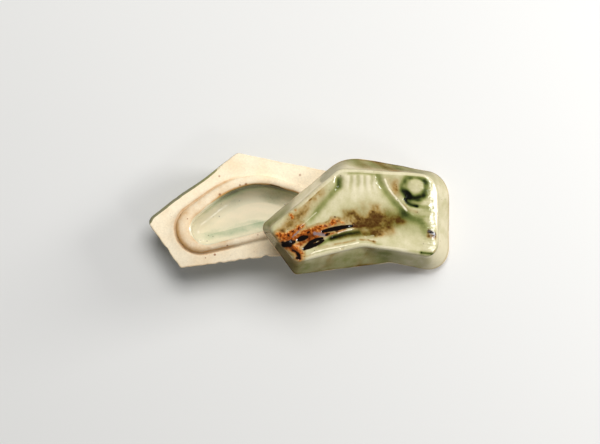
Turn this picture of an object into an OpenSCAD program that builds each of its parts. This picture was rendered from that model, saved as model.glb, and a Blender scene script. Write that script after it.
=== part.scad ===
// Incense box (kogo) of hollowed stoneware, shown open.
// The body rests flat on its base and the lid leans on its right rim.
// Millimetres, +Z up, origin on the underside of the body, +X along the box, -Y to the front.

/* [Box] */
// length of the faceted outline
box_len = 76; // [66:1:86]
// width of the faceted outline
box_wid = 44; // [40:1:50]
// height of the body from its base to its flat face
body_h = 13; // [12:0.5:15]
// how far the wall draws in from the rim to the base
wall_taper = 3.4; // [2:0.2:4.4]
// width of the worn bevel at each rim
rim_bevel = 0.7; // [0.4:0.1:1]

/* [Collar and well] */
// radius of the well's ends at its mouth
well_r = 6.2; // [5.4:0.2:6.6]
// width of the collar that the lid fits over
collar_w = 3.6; // [3:0.2:4]
// height of the collar above the flat face
collar_h = 2.4; // [1.6:0.2:3]
// depth of the well below the flat face
well_depth = 8.2; // [7:0.2:9]
// radius between the well's wall and its floor
well_fillet = 3.6; // [2.8:0.2:4.2]

/* [Lid] */
// height of the lid from its seam to its ridge
lid_h = 11; // [10.4:0.2:12.6]
// how far the picture field lies below the ridge
field_drop = 0.8; // [0.5:0.1:1.2]
// depth of the hollow under the lid
hollow_depth = 6; // [5.6:0.2:6.4]
// gap all round between the collar and the hollow
seat_clear = 0.5; // [0.3:0.1:0.8]

/* [Picture] */
// radius of the moon inside its ring
moon_r = 2.4; // [2.2:0.1:2.6]
// width of the groove round the moon
moon_groove = 2.8; // [2.4:0.1:3]
// depth of the groove round the moon
moon_depth = 1.2; // [0.8:0.1:1.4]
// width of the strokes that cut the mountain's flanks
flank_width = 3.6; // [3:0.2:4.2]
// depth of the strokes that cut the mountain's flanks
flank_depth = 1.1; // [0.8:0.1:1.3]
// width of the shoreline strokes that hold iron glaze
iron_width = 2.4; // [2:0.2:3]
// depth of the shoreline strokes
iron_depth = 0.9; // [0.7:0.1:1.2]
// how far the pooled glaze stays below the field
pool_drop = 0.45; // [0.4:0.05:0.55]

/* [Where the lid leans] */
// distance from the body's origin to the lid's origin along the box
lid_x = 42.3; // [42:0.5:50]
// distance of the lid's origin towards the front
lid_front = 1.6; // [0:0.2:4]
// turn of the lid about the vertical
lid_yaw = 3.8; // [0:0.2:5]
// gap between the leaning lid and the body's rim
lean_gap = 0.3; // [0.2:0.1:0.6]

/* [Hidden] */
clay = [0.90, 0.84, 0.74];
celadon = [0.70, 0.76, 0.66];
green = [0.42, 0.50, 0.38];
iron = [0.22, 0.14, 0.10];

// the body's faceted rim, as shares of its length and width, from the nose round by the front
rim_shares = [
    [-0.48, -0.062],
    [-0.308, -0.477],
    [0.167, -0.366],
    [0.476, -0.48],
    [0.5145, 0.335],
    [-0.031, 0.52]
];
rim_radii = [3.2, 1.8, 14, 6, 7, 2.6];

// the lid's lower edge, which stands out a little beyond the rim on the left
seam_shares = [
    [-0.505, -0.075],
    [-0.341, -0.489],
    [0.167, -0.393],
    [0.468, -0.507],
    [0.5105, 0.368],
    [-0.0395, 0.536]
];
seam_radii = [3.2, 2.2, 14, 9, 9.5, 18];

// the lid's ridge, from the nose round by the front
ridge_shares = [
    [-0.508, -0.136],
    [-0.376, -0.425],
    [-0.03, -0.295],
    [0.376, -0.398],
    [0.416, 0.332],
    [-0.12, 0.377]
];
ridge_radii = [2.4, 2.2, 14, 6, 8, 6];

// middle line of the well: its left end, its right end and its top
spine_shares = [
    [-0.175, -0.134],
    [0.229, 0.041],
    [0.026, 0.109]
];

box_size = [box_len, box_wid];
rim = sized(rim_shares);
seam = sized(seam_shares);
ridge = sized(ridge_shares);
spine = sized(spine_shares);

// points on each corner of a ring
corner_points = 8;
bead_steps = 8;
fillet_steps = 5;
floor_z = body_h - well_depth;
collar_r = well_r + collar_w;
hollow_r = collar_r + seat_clear;
foot_round = 0.9;
rim_z = body_h - rim_bevel;
ridge_round = 1;
ridge_width = 3;
ridge_crown = 1.1;
field_z = lid_h - field_drop;
hollow_fillet = 3;
mouth_bevel = 0.5;
pool_steps = 2;
field_centre = [0, 2];

// the field's right side: where its ridge runs out, and where and how far it rolls over
ridge_out = [0.18 * box_len, 0.33 * box_len];
roll_from = 0.292 * box_len;
roll_span = 0.124 * box_len;
roll_drop = 1.6;
roll_reach = [0.12 * box_len, 0.5 * box_len];
roll_steps = 12;

// lean of the lid, from the height of the body and the reach of the lid beyond its rim
yaw_dir = [cos(lid_yaw), sin(lid_yaw)];
lid_at = [lid_x, -lid_front];
lid_reach = max([for (p = seam_ring(0, 0)) p.x]);
rim_reach = max([for (p = rim_ring(0, 0)) ([p.x, p.y] - lid_at) * yaw_dir]);
lean_cos = 0.95;
lean = asin((body_h + lean_gap) / (lid_reach - rim_reach / lean_cos));
floor_gap = 0.1;

// mountain flanks, shoreline and summit flutes, each stroke from its start to its end
flank_strokes = [
    [[-0.112, 0.3], [-0.3, -0.12]],
    [[0.045, 0.345], [0.165, 0.065]],
    [[0.11, 0.18], [0.275, -0.085]]
];
iron_strokes = [
    [[-0.395, -0.26], [-0.295, -0.195]],
    [[-0.24, -0.164], [-0.062, -0.098]],
    [[-0.335, -0.315], [-0.184, -0.173]]
];
shore_strokes = [
    [[-0.213, -0.249], [0.04, -0.134]]
];
flute_count = 5;
flute_from = -0.077;
flute_step = 0.03;
flute_ends = [0.305, 0.165];
flute_width = 1.7;
flute_depth = 0.35;
shore_width = 1.8;
shore_depth = 0.5;
moon_at = sized([[0.277, 0.206]])[0];
moon_ring_r = moon_r + moon_groove / 2;
pit_stroke = [[0.211, 0.17], [0.265, 0.065]];
pit_width = 2.4;
pit_depth = 1.4;

function sized(shares) = [for (s = shares) [s.x * box_size.x, s.y * box_size.y]];
function unit(v) = v / norm(v);
function inward(v) = [-v.y, v.x];
function along(c, i) = unit(c[(i + 1) % len(c)] - c[i]);
function before(c, i) = along(c, (i + len(c) - 1) % len(c));
function turn(u, v) = atan2(u.x * v.y - u.y * v.x, u * v);

// corner i moved in by d from both its edges
function inset_corner(c, i, d) =
    let (u = inward(before(c, i)), v = inward(along(c, i)))
    c[i] + (u + v) * d / (1 + u * v);

// arc round corner i of outline c, of radius r
function corner_arc(c, i, r, z) =
    let (
        u = before(c, i),
        t = turn(u, along(c, i)),
        side = sign(t),
        start = c[i] - u * r * tan(abs(t) / 2),
        centre = start + inward(u) * r * side,
        from = atan2(start.y - centre.y, start.x - centre.x)
    )
    [for (j = [0:corner_points - 1])
        let (a = from + t * j / (corner_points - 1))
        [centre.x + r * cos(a), centre.y + r * sin(a), z]];

// ring round outline c with corner radii r, moved in by d, at height z
function outline_ring(c, r, d, z) =
    let (moved = [for (i = [0:len(c) - 1]) inset_corner(c, i, d)])
    [for (i = [0:len(c) - 1])
        let (s = sign(turn(before(c, i), along(c, i))))
        each corner_arc(moved, i, max(r[i] - s * d, 0.6), z)];

function rim_ring(d, z) = outline_ring(rim, rim_radii, d, z);
function seam_ring(d, z) = outline_ring(seam, seam_radii, d, z);

// how far the lid's top has rolled down at x
function roll(x) = roll_drop * pow(max(x - roll_from, 0) / roll_span, 2);

// share of the ridge that has run out at x, less than none before it begins to
function run_out(x) = min((x - ridge_out[0]) / (ridge_out[1] - ridge_out[0]), 1);

// height of the lid's top at x, along the ridge and then down the roll
function top_z(x) = lid_h - field_drop * run_out(x) - roll(x);

function ridge_ring(d, z) = outline_ring(ridge, ridge_radii, d, z);

// upper edge of the lid's wall, which comes down with the top
function wall_ring() =
    [for (p = ridge_ring(0, -ridge_round)) [p.x, p.y, p.z + min(top_z(p.x), lid_h)]];

// outward directions of the well's three sides
function side_angle(i) =
    let (e = along(spine, i))
    atan2(-e.x, e.y);

// one arc of a well ring
function well_arc(at, r, z, from, span, count) =
    [for (j = [0:count - 1])
        let (a = from + span * j / (count - 1))
        [at.x + r * cos(a), at.y + r * sin(a), z]];

// ring at distance r round the well's middle line, with its points matched to the outline's corners
function well_ring(r, z) =
    let (
        front = side_angle(0),
        back = side_angle(1),
        left = side_angle(2),
        left_span = (front - left + 720) % 360,
        right_span = (back - front + 720) % 360,
        top_span = (left - back + 720) % 360,
        out = r * [cos(front), sin(front)]
    )
    concat(
        well_arc(spine[0], r, z, left, left_span, 2 * corner_points),
        [for (j = [1:corner_points])
            let (p = spine[0] + (spine[1] - spine[0]) * j / (corner_points + 1) + out)
            [p.x, p.y, z]],
        well_arc(spine[1], r, z, front, right_span, 2 * corner_points),
        well_arc(spine[2], r, z, back, top_span, corner_points)
    );

// solid through a stack of matched rings, closed by a point at each end
module loft(rings, first, last) {
    n = len(rings[0]);
    count = len(rings);
    points = concat([first], [for (r = rings) each r], [last]);
    end = len(points) - 1;
    sides = [for (i = [0:count - 2], j = [0:n - 1])
        let (
            a = 1 + i * n + j,
            b = 1 + i * n + (j + 1) % n,
            c = b + n,
            d = a + n
        )
        each [[a, c, b], [a, d, c]]];
    lower = [for (j = [0:n - 1]) [0, 1 + j, 1 + (j + 1) % n]];
    upper = [for (j = [0:n - 1]) [end, end - n + (j + 1) % n, end - n + j]];
    polyhedron(points = points, faces = concat(lower, sides, upper));
}

// groove of a gouge that dips into the field between two points and runs out at both
module stroke(ends, width, depth) {
    p = sized(ends)[0];
    q = sized(ends)[1];
    half = norm(q - p) / 2;
    tool_r = (pow(width / 2, 2) + pow(depth, 2)) / (2 * depth);
    sweep_r = (pow(half, 2) + pow(depth, 2)) / (2 * depth);
    mid = (p + q) / 2;
    translate([mid.x, mid.y, field_z - depth + sweep_r])
        rotate([90, 0, atan2(q.y - p.y, q.x - p.x)])
            rotate_extrude($fn = 360)
                translate([sweep_r - tool_r, 0])
                    circle(r = tool_r, $fn = 96);
}

// groove round the moon
module moon_cut() {
    tool_r = (pow(moon_groove / 2, 2) + pow(moon_depth, 2)) / (2 * moon_depth);
    translate([moon_at.x, moon_at.y, field_z - moon_depth + tool_r])
        rotate_extrude($fn = 96)
            translate([moon_ring_r, 0])
                circle(r = tool_r, $fn = 96);
}

// what is cut away above the lid's top where it comes down on the right
module roll_cut() {
    profile = [for (i = [0:roll_steps])
        let (x = roll_reach[0] + (roll_reach[1] - roll_reach[0]) * i / roll_steps)
        [x, top_z(x)]];
    rotate([90, 0, 0])
        linear_extrude(2 * box_wid, center = true)
            polygon(concat(profile, [[roll_reach[1], 2 * lid_h], [roll_reach[0], 2 * lid_h]]));
}

module flank_cuts() {
    for (s = flank_strokes)
        stroke(s, flank_width, flank_depth);
}

module moon_cuts() {
    moon_cut();
    stroke(pit_stroke, pit_width, pit_depth);
}

module iron_cuts() {
    for (s = iron_strokes)
        stroke(s, iron_width, iron_depth);
}

module flute_cuts() {
    for (i = [0:flute_count - 1])
        let (x = flute_from + i * flute_step)
            stroke([[x, flute_ends[0]], [x, flute_ends[1]]], flute_width, flute_depth);
}

module shore_cuts() {
    for (s = shore_strokes)
        stroke(s, shore_width, shore_depth);
}

// everything below the level that pooled glaze reaches
module pool_level() {
    translate([-box_len, -box_wid, 0])
        cube([2 * box_len, 2 * box_wid, field_z - pool_drop]);
}

// carries what is drawn about the lid's own origin to where the lid leans
module leaning() {
    translate([lid_at.x, lid_at.y, floor_gap + lid_reach * sin(lean)])
        rotate([0, lean, lid_yaw])
            children();
}

// rings of the well from its mouth down to its floor
well_rings = [for (i = [0:fillet_steps])
    let (a = 90 * i / fillet_steps)
    well_ring(well_r - well_fillet * (1 - cos(a)), floor_z + well_fillet * (1 - sin(a)))];
well_middle = (spine[0] + spine[1] + spine[2]) / 3;

module body() {
    outside = [
        rim_ring(wall_taper + foot_round, 0),
        rim_ring(wall_taper + foot_round / 4, foot_round / 4),
        rim_ring(wall_taper, foot_round),
        rim_ring(0, rim_z),
        rim_ring(rim_bevel, body_h)
    ];
    bead = [for (i = [0:bead_steps])
        let (a = 180 * i / bead_steps)
        well_ring(well_r + collar_w * (1 + cos(a)) / 2, body_h + collar_h * sin(a))];
    color(clay)
        loft(
            concat(outside, bead, well_rings),
            [0, 0, 0],
            [well_middle.x, well_middle.y, floor_z]
        );
}

// celadon glaze pooled on the floor of the well
module well_glaze() {
    pool = [for (i = [fillet_steps:-1:pool_steps]) well_rings[i]];
    pool_z = pool[len(pool) - 1][0].z;
    color(celadon)
        loft(
            pool,
            [well_middle.x, well_middle.y, floor_z],
            [well_middle.x, well_middle.y, pool_z]
        );
}

// the lid before its picture is cut
module lid_block() {
    hollow = [for (i = [0:fillet_steps])
        let (a = 90 * i / fillet_steps)
        well_ring(
            hollow_r - hollow_fillet * (1 - sin(a)),
            hollow_depth - hollow_fillet * (1 - cos(a))
        )];
    under = [
        well_ring(hollow_r, mouth_bevel),
        well_ring(hollow_r + mouth_bevel, 0),
        seam_ring(rim_bevel, 0)
    ];
    outside = [
        seam_ring(0, rim_bevel),
        wall_ring(),
        ridge_ring(ridge_round / 3, lid_h - ridge_round / 4),
        ridge_ring(ridge_crown, lid_h),
        ridge_ring((ridge_crown + ridge_width) / 2, (lid_h + field_z) / 2),
        ridge_ring(ridge_width, field_z)
    ];
    loft(
        concat(hollow, under, outside),
        [well_middle.x, well_middle.y, hollow_depth],
        [field_centre.x, field_centre.y, field_z]
    );
}

module lid() {
    color(clay)
        leaning()
            difference() {
                lid_block();
                roll_cut();
                flank_cuts();
                moon_cuts();
                iron_cuts();
                flute_cuts();
                shore_cuts();
            }
}

// green glaze pooled in the strokes of the mountain's flanks
module flank_glaze() {
    color(green)
        leaning()
            intersection() {
                flank_cuts();
                pool_level();
            }
}

// green glaze pooled in the groove round the moon
module moon_glaze() {
    color(green)
        leaning()
            intersection() {
                moon_cuts();
                pool_level();
            }
}

// iron glaze pooled in the shoreline strokes
module iron_glaze() {
    color(iron)
        leaning()
            intersection() {
                iron_cuts();
                pool_level();
            }
}

body();
well_glaze();
lid();
flank_glaze();
moon_glaze();
iron_glaze();
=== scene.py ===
"""Looks of an open stoneware incense box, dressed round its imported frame."""
import logging
import math
from dataclasses import dataclass, field
from enum import Enum, auto
from functools import cached_property
from typing import Callable, Sequence

import bmesh
import bpy
from mathutils import Matrix, Vector, noise


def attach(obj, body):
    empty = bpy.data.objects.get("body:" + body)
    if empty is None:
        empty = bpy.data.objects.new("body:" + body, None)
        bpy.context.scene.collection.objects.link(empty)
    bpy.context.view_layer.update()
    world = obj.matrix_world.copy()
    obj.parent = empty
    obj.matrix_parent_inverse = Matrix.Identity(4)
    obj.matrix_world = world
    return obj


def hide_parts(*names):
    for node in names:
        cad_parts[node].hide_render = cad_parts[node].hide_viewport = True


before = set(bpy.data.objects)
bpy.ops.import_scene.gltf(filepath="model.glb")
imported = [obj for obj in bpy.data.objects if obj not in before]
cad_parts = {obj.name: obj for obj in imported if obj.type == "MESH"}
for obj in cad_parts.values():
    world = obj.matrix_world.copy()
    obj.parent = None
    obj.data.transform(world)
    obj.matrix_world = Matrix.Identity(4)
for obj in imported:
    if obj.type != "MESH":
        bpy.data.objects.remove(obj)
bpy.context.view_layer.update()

LOG = logging.getLogger("incense_box")
MM = 0.001
HAND_SEED = 5
WASH_REACH = 2.6
Path = tuple[tuple[float, float], ...]
Ring = list[Vector]
Colour = tuple[int, int, int]
Stops = tuple[tuple[float, Colour], ...]
Socket = bpy.types.NodeSocket


def srgb(red: int, green: int, blue: int) -> tuple[float, float, float, float]:
    """Turns a screen colour into the linear colour that a shader takes.

    Args:
        red: Red from 0 to 255.
        green: Green from 0 to 255.
        blue: Blue from 0 to 255.

    Returns:
        Linear red, green, blue and full alpha.
    """
    def linear(value: int) -> float:
        """One channel from screen to linear."""
        share = value / 255
        return share / 12.92 if share <= 0.04045 else ((share + 0.055) / 1.055) ** 2.4
    return (linear(red), linear(green), linear(blue), 1.0)


def bell(distance: float, width: float) -> float:
    """Soft bump of height one that falls off over a width."""
    return math.exp(-(distance / width) ** 2)


def ease(low: float, high: float, value: float) -> float:
    """Smooth step from nought at low to one at high."""
    share = min(max((value - low) / (high - low), 0.0), 1.0)
    return share * share * (3 - 2 * share)


def ripple(x: float, y: float, size: float, seed: float) -> float:
    """Smooth random value from about -1 to 1 that changes over a given size in millimetres."""
    return noise.noise(Vector((x / size, y / size, seed)))


@dataclass(frozen=True)
class Uneven:
    """Uneven value: its mean, and the ripples about it as amount, size in millimetres and random pattern."""

    mean: float
    ripples: tuple[tuple[float, float, float], ...]

    def at(self, x: float, y: float) -> float:
        """Value at a point."""
        return sum((amount * ripple(x, y, size, seed) for amount, size, seed in self.ripples), self.mean)


def near(x: float, y: float, path: Path) -> tuple[float, float, float]:
    """Finds where a point lies beside a path.

    Args:
        x: The point's first coordinate.
        y: The point's second coordinate.
        path: The corners of the path.

    Returns:
        Distance to the path, share of the way along it, and the side: 1 on its left, -1 on its right.
    """
    lengths = [math.dist(a, b) for a, b in zip(path, path[1:])]
    best, along, side, done = 1e9, 0.0, 1.0, 0.0
    for (a, b), length in zip(zip(path, path[1:]), lengths):
        ux, uy = (b[0] - a[0]) / length, (b[1] - a[1]) / length
        dx, dy = x - a[0], y - a[1]
        step = min(max(dx * ux + dy * uy, 0.0), length)
        gap = math.hypot(dx - step * ux, dy - step * uy)
        if gap < best:
            best, along = gap, (done + step) / sum(lengths)
            side = 1.0 if ux * dy - uy * dx > 0 else -1.0
        done += length
    return best, along, side


@dataclass(frozen=True)
class Stations:
    """Points of a ring on each corner of the outline and along each edge after it."""

    corner: int = 14
    edges: tuple[int, ...] = (26, 60, 40, 54, 66, 70)


@dataclass(frozen=True)
class Outline:
    """Faceted outline with rounded corners, from the nose round by the front, in millimetres."""

    corners: Path
    radii: tuple[float, ...]
    stations: Stations = Stations()
    least_radius: float = 0.6

    def _along(self, index: int) -> Vector:
        """Direction of the edge that leaves a corner."""
        count = len(self.corners)
        return (Vector(self.corners[(index + 1) % count]) - Vector(self.corners[index % count])).normalized()

    def _arc(self, index: int, inset: float) -> list[Vector]:
        """Points round one corner of the outline once it is moved in.

        Args:
            index: Which corner.
            inset: How far the outline is moved in.

        Returns:
            Points in the plane.
        """
        before, after = self._along(index - 1), self._along(index)
        left, right = Vector((-before.y, before.x)), Vector((-after.y, after.x))
        corner = Vector(self.corners[index]) + (left + right) * inset / (1 + left.dot(right))
        turn = math.atan2(before.x * after.y - before.y * after.x, before.dot(after))
        side = math.copysign(1.0, turn)
        radius = max(self.radii[index] - side * inset, self.least_radius)
        start = corner - before * radius * math.tan(abs(turn) / 2)
        centre = start + left * radius * side
        first = math.atan2(start.y - centre.y, start.x - centre.x)
        angles = [first + turn * j / (self.stations.corner - 1) for j in range(self.stations.corner)]
        return [centre + radius * Vector((math.cos(a), math.sin(a))) for a in angles]

    def ring(self, inset: float, height: float) -> Ring:
        """Ring round the outline.

        Args:
            inset: How far the ring lies inside the outline.
            height: Height of the ring.

        Returns:
            Points of the ring.
        """
        arcs = [self._arc(i, inset) for i in range(len(self.corners))]
        points: list[Vector] = []
        for i, arc in enumerate(arcs):
            points += arc
            start, end, count = arc[-1], arcs[(i + 1) % len(arcs)][0], self.stations.edges[i]
            points += [start.lerp(end, (j + 1) / (count + 1)) for j in range(count)]
        return [Vector((p.x, p.y, height)) for p in points]


@dataclass(frozen=True)
class Spine:
    """Middle line of the well: its left end, its right end and its rounded top, in millimetres."""

    left: tuple[float, float] = (-13.3, -5.9)
    right: tuple[float, float] = (17.4, 1.8)
    top: tuple[float, float] = (2.2, 6.4)
    straight: float = 0.4
    middle_up: float = 1.2
    stations: Stations = Stations()

    @property
    def middle(self) -> Vector:
        """Middle of the well."""
        return (Vector(self.left) + Vector(self.right)) / 2 + Vector((0.0, self.middle_up))

    def ring(self, radius: float, height: float) -> Ring:
        """Ring at a distance round the middle line, matched to the outline's stations.

        Args:
            radius: Distance from the middle line.
            height: Height of the ring.

        Returns:
            Points of the ring.
        """
        def outward(a: Vector, b: Vector) -> float:
            """Angle of the way out across a side."""
            return math.atan2(a.x - b.x, b.y - a.y)

        def out(angle: float) -> Vector:
            """Step out at an angle by the radius."""
            return radius * Vector((math.cos(angle), math.sin(angle)))

        left, right, top = Vector(self.left), Vector(self.right), Vector(self.top)
        front, back, behind = outward(left, right), outward(right, top), outward(top, left)
        corner, edges = self.stations.corner, self.stations.edges
        points: list[Vector] = []

        def arc(at: Vector, start: float, end: float, count: int) -> None:
            """Adds an arc round one end."""
            span = (end - start) % (2 * math.pi)
            points.extend(at + out(start + span * j / (count - 1)) for j in range(count))

        def side(a: Vector, b: Vector, count: int) -> None:
            """Adds a straight side without its ends."""
            points.extend(a.lerp(b, (j + 1) / (count + 1)) for j in range(count))

        def curve(a: Vector, peak: Vector, b: Vector, count: int) -> None:
            """Adds a curve that bends over under a peak."""
            for j in range(count):
                share = j / (count - 1)
                points.append(a.lerp(peak, share).lerp(peak.lerp(b, share), share))

        turn = (behind - back) / 2
        peak = top + out(back + turn) / math.cos(turn)
        right_end, left_end = right + out(back), left + out(behind)
        right_bend = right_end.lerp(top + out(back), self.straight)
        left_bend = left_end.lerp(top + out(behind), self.straight)
        first, last = int(edges[4] * self.straight), int(edges[5] * self.straight)
        arc(left, behind, front, 2 * corner + edges[0])
        side(left + out(front), right + out(front), edges[1] + corner + edges[2])
        arc(right, front, back, 2 * corner + edges[3])
        side(right_end, right_bend, first)
        curve(right_bend, peak, left_bend, edges[4] + corner + edges[5] - first - last)
        side(left_bend, left_end, last)
        return [Vector((p.x, p.y, height)) for p in points]


def between(first: Ring, last: Ring, share: float) -> Ring:
    """Ring part of the way from one ring to another."""
    return [a.lerp(b, share) for a, b in zip(first, last)]


def raised(point: Vector, height: float) -> Vector:
    """Point moved up by a height."""
    return Vector((point.x, point.y, point.z + height))


def shares(steps: int) -> list[float]:
    """Even shares of a way, from the first step to the whole."""
    return [step / steps for step in range(1, steps + 1)]


def quarter(steps: int, first: int = 1) -> list[tuple[float, float]]:
    """Sine and cosine at even steps of a quarter turn.

    Args:
        steps: Steps in the whole quarter.
        first: The step to begin with.

    Returns:
        A sine and a cosine for each step.
    """
    turns = [math.radians(90 * step / steps) for step in range(first, steps + 1)]
    return [(math.sin(turn), math.cos(turn)) for turn in turns]


@dataclass(frozen=True)
class Hand:
    """Small unevenness of a hand-cut form: its size in millimetres, and which random pattern it follows."""

    size: float
    pattern: float

    def move(self, ring: Ring, amount: float) -> Ring:
        """Moves the points of a ring sideways.

        Args:
            ring: The even ring.
            amount: Largest move, in millimetres.

        Returns:
            The uneven ring.
        """
        moved: Ring = []
        for p in ring:
            at = Vector((p.x / self.size, p.y / self.size, p.z / self.size + self.pattern))
            shift = noise.noise_vector(at)
            moved.append(Vector((p.x + amount * shift.x, p.y + amount * shift.y, p.z)))
        return moved


class Mark(Enum):
    """What a finish can read at each point of a piece."""

    BARE = "bare"
    POOL = "pool"
    # Toast and tan stains, and also painted shade where a piece marks it.
    TAN = "tan"
    RUST = "rust"
    IRON = "iron"
    LILAC = "lilac"
    PALE = "pale"
    COMBED = "combed"


class Zone(Enum):
    """Where on a piece a loop lies."""

    BASE = auto()
    WALL = auto()
    RIM = auto()
    FACE = auto()
    FOOT = auto()
    COLLAR = auto()
    INNER = auto()
    WELL = auto()
    BEHIND = auto()
    EDGE = auto()
    SIDE = auto()
    FLOOR = auto()
    HOLLOW = auto()
    SEAM = auto()
    RIDGE = auto()
    FIELD = auto()


Marks = dict[Mark, float]
Marker = Callable[[Vector, Zone], Marks]


class LoopModeller:
    """Models a closed form by hand: a disc's edge is pulled loop by loop and drawn shut."""

    def __init__(self, name: str, start: Vector, ring: Ring, place: Matrix) -> None:
        """Starts a piece from a disc.

        Args:
            name: Name of the piece.
            start: Middle of the disc, in millimetres.
            ring: Edge of the disc, in millimetres.
            place: Where the piece's own frame stands, in metres.
        """
        self.place = place
        self.count = len(ring)
        self.loops = 1
        bpy.ops.object.select_all(action="DESELECT")
        bpy.ops.mesh.primitive_circle_add(vertices=self.count, radius=MM, fill_type="TRIFAN")
        self.piece = bpy.context.object
        self.piece.name = self.piece.data.name = name
        bpy.ops.object.mode_set(mode="EDIT")
        bpy.ops.mesh.select_mode(type="EDGE")
        mesh = self._mesh()
        station = mesh.verts.layers.int.new("station")
        loop = mesh.verts.layers.int.new("loop")
        middle = next(v for v in mesh.verts if len(v.link_edges) == self.count)
        middle[loop] = -1
        middle.co = self._put(start)
        rim = next(v for v in mesh.verts if v is not middle)
        seen = {middle, rim}
        for index in range(self.count):
            rim[station] = index
            rim.co = self._put(ring[index])
            rim = next((e.other_vert(rim) for e in rim.link_edges if e.other_vert(rim) not in seen), rim)
            seen.add(rim)
        for edge in mesh.edges:
            edge.select_set(middle not in edge.verts)
        mesh.select_flush_mode()
        bmesh.update_edit_mesh(self.piece.data)

    def _mesh(self) -> bmesh.types.BMesh:
        """The piece's mesh as it stands in edit mode."""
        return bmesh.from_edit_mesh(self.piece.data)

    def _put(self, point: Vector) -> Vector:
        """Carries a point in millimetres to its place in metres."""
        return self.place @ (point * MM)

    def pull(self, ring: Ring) -> None:
        """Pulls the open edge out to a further loop."""
        bpy.ops.mesh.extrude_edges_indiv()
        mesh = self._mesh()
        station, loop = mesh.verts.layers.int["station"], mesh.verts.layers.int["loop"]
        mesh.verts.ensure_lookup_table()
        for vert in mesh.verts[-self.count:]:
            vert[loop] = self.loops
            vert.co = self._put(ring[vert[station]])
        self.loops += 1

    def shut(self, end: Vector) -> bpy.types.Object:
        """Draws the open edge shut at a point and finishes the piece.

        Args:
            end: The last point, in millimetres.

        Returns:
            The piece, smooth and with its faces outwards.
        """
        bpy.ops.mesh.extrude_edges_indiv()
        bpy.ops.mesh.select_mode(type="VERT")
        bpy.ops.mesh.merge(type="CENTER")
        mesh = self._mesh()
        last = next(v for v in mesh.verts if v.select)
        last[mesh.verts.layers.int["loop"]] = self.loops
        last.co = self._put(end)
        bpy.ops.mesh.select_all(action="SELECT")
        bpy.ops.mesh.normals_make_consistent(inside=False)
        bpy.ops.object.mode_set(mode="OBJECT")
        bpy.ops.object.shade_smooth()
        return self.piece


@dataclass
class Form:
    """A closed form as loops of points in millimetres, each loop in a zone of the surface."""

    start: Vector
    loops: list[Ring] = field(default_factory=list)
    zones: list[Zone] = field(default_factory=list)
    end: Vector = field(default_factory=Vector)

    def add(self, zone: Zone, *rings: Ring) -> None:
        """Adds loops that belong to one zone of the surface."""
        for ring in rings:
            self.loops.append(ring)
            self.zones.append(zone)

    def close_in(self, zone: Zone, steps: int) -> None:
        """Adds loops in even steps from the last one towards the end, without the end itself."""
        last = self.loops[-1]
        for share in shares(steps)[:-1]:
            self.add(zone, between(last, [self.end] * len(last), share))

    def model(self, name: str, place: Matrix, marks: Marker) -> bpy.types.Object:
        """Models the form and marks its points.

        Args:
            name: Name of the piece.
            place: Where the form's own frame stands.
            marks: Gives the marks of a point in a zone.

        Returns:
            The finished piece.
        """
        modeller = LoopModeller(name, self.start, self.loops[0], place)
        for ring in self.loops[1:]:
            modeller.pull(ring)
        piece = modeller.shut(self.end)
        self._mark(piece.data, marks)
        return piece

    def _mark(self, mesh: bpy.types.Mesh, marks: Marker) -> None:
        """Writes the marks of every point and drops the working layers."""
        station = [0] * len(mesh.vertices)
        loop = [0] * len(mesh.vertices)
        mesh.attributes["station"].data.foreach_get("value", station)
        mesh.attributes["loop"].data.foreach_get("value", loop)
        values: dict[Mark, list[float]] = {mark: [0.0] * len(mesh.vertices) for mark in Mark}
        for index, (ring, point) in enumerate(zip(loop, station)):
            if ring < 0:
                found = marks(self.start, self.zones[0])
            elif ring >= len(self.loops):
                found = marks(self.end, self.zones[-1])
            else:
                found = marks(self.loops[ring][point], self.zones[ring])
            for mark, value in found.items():
                values[mark][index] = min(max(value, 0.0), 1.0)
        for layer in ("station", "loop"):
            mesh.attributes.remove(mesh.attributes[layer])
        for mark, column in values.items():
            mesh.attributes.new(mark.value, "FLOAT", "POINT").data.foreach_set("value", column)


@dataclass(frozen=True)
class Wash:
    """Touch of colour or depth along a path, in the lid's own millimetres."""

    path: Path
    width: float
    strength: float
    edge: float = 2.0
    taper: float = 0.0

    @cached_property
    def reach(self) -> tuple[float, float, float, float]:
        """Box outside which the touch is nothing."""
        margin = WASH_REACH * self.width
        xs, ys = zip(*self.path)
        return min(xs) - margin, min(ys) - margin, max(xs) + margin, max(ys) + margin

    def at(self, x: float, y: float) -> float:
        """Strength of the touch at a point."""
        west, south, east, north = self.reach
        if not (west < x < east and south < y < north):
            return 0.0
        gap, along, _ = near(x, y, self.path)
        width = self.width * (1 - self.taper * (2 * along - 1) ** 2)
        return self.strength * math.exp(-(gap / width) ** self.edge)


def washed(washes: Sequence[Wash], x: float, y: float) -> float:
    """Sum of several touches at a point."""
    return sum(wash.at(x, y) for wash in washes)


def cut(path: Path, width: float, strength: float) -> Wash:
    """Touch of a loaded tool: even across, firm at its sides and thinner at both ends."""
    return Wash(path, width, strength, edge=4.0, taper=0.45)


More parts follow.
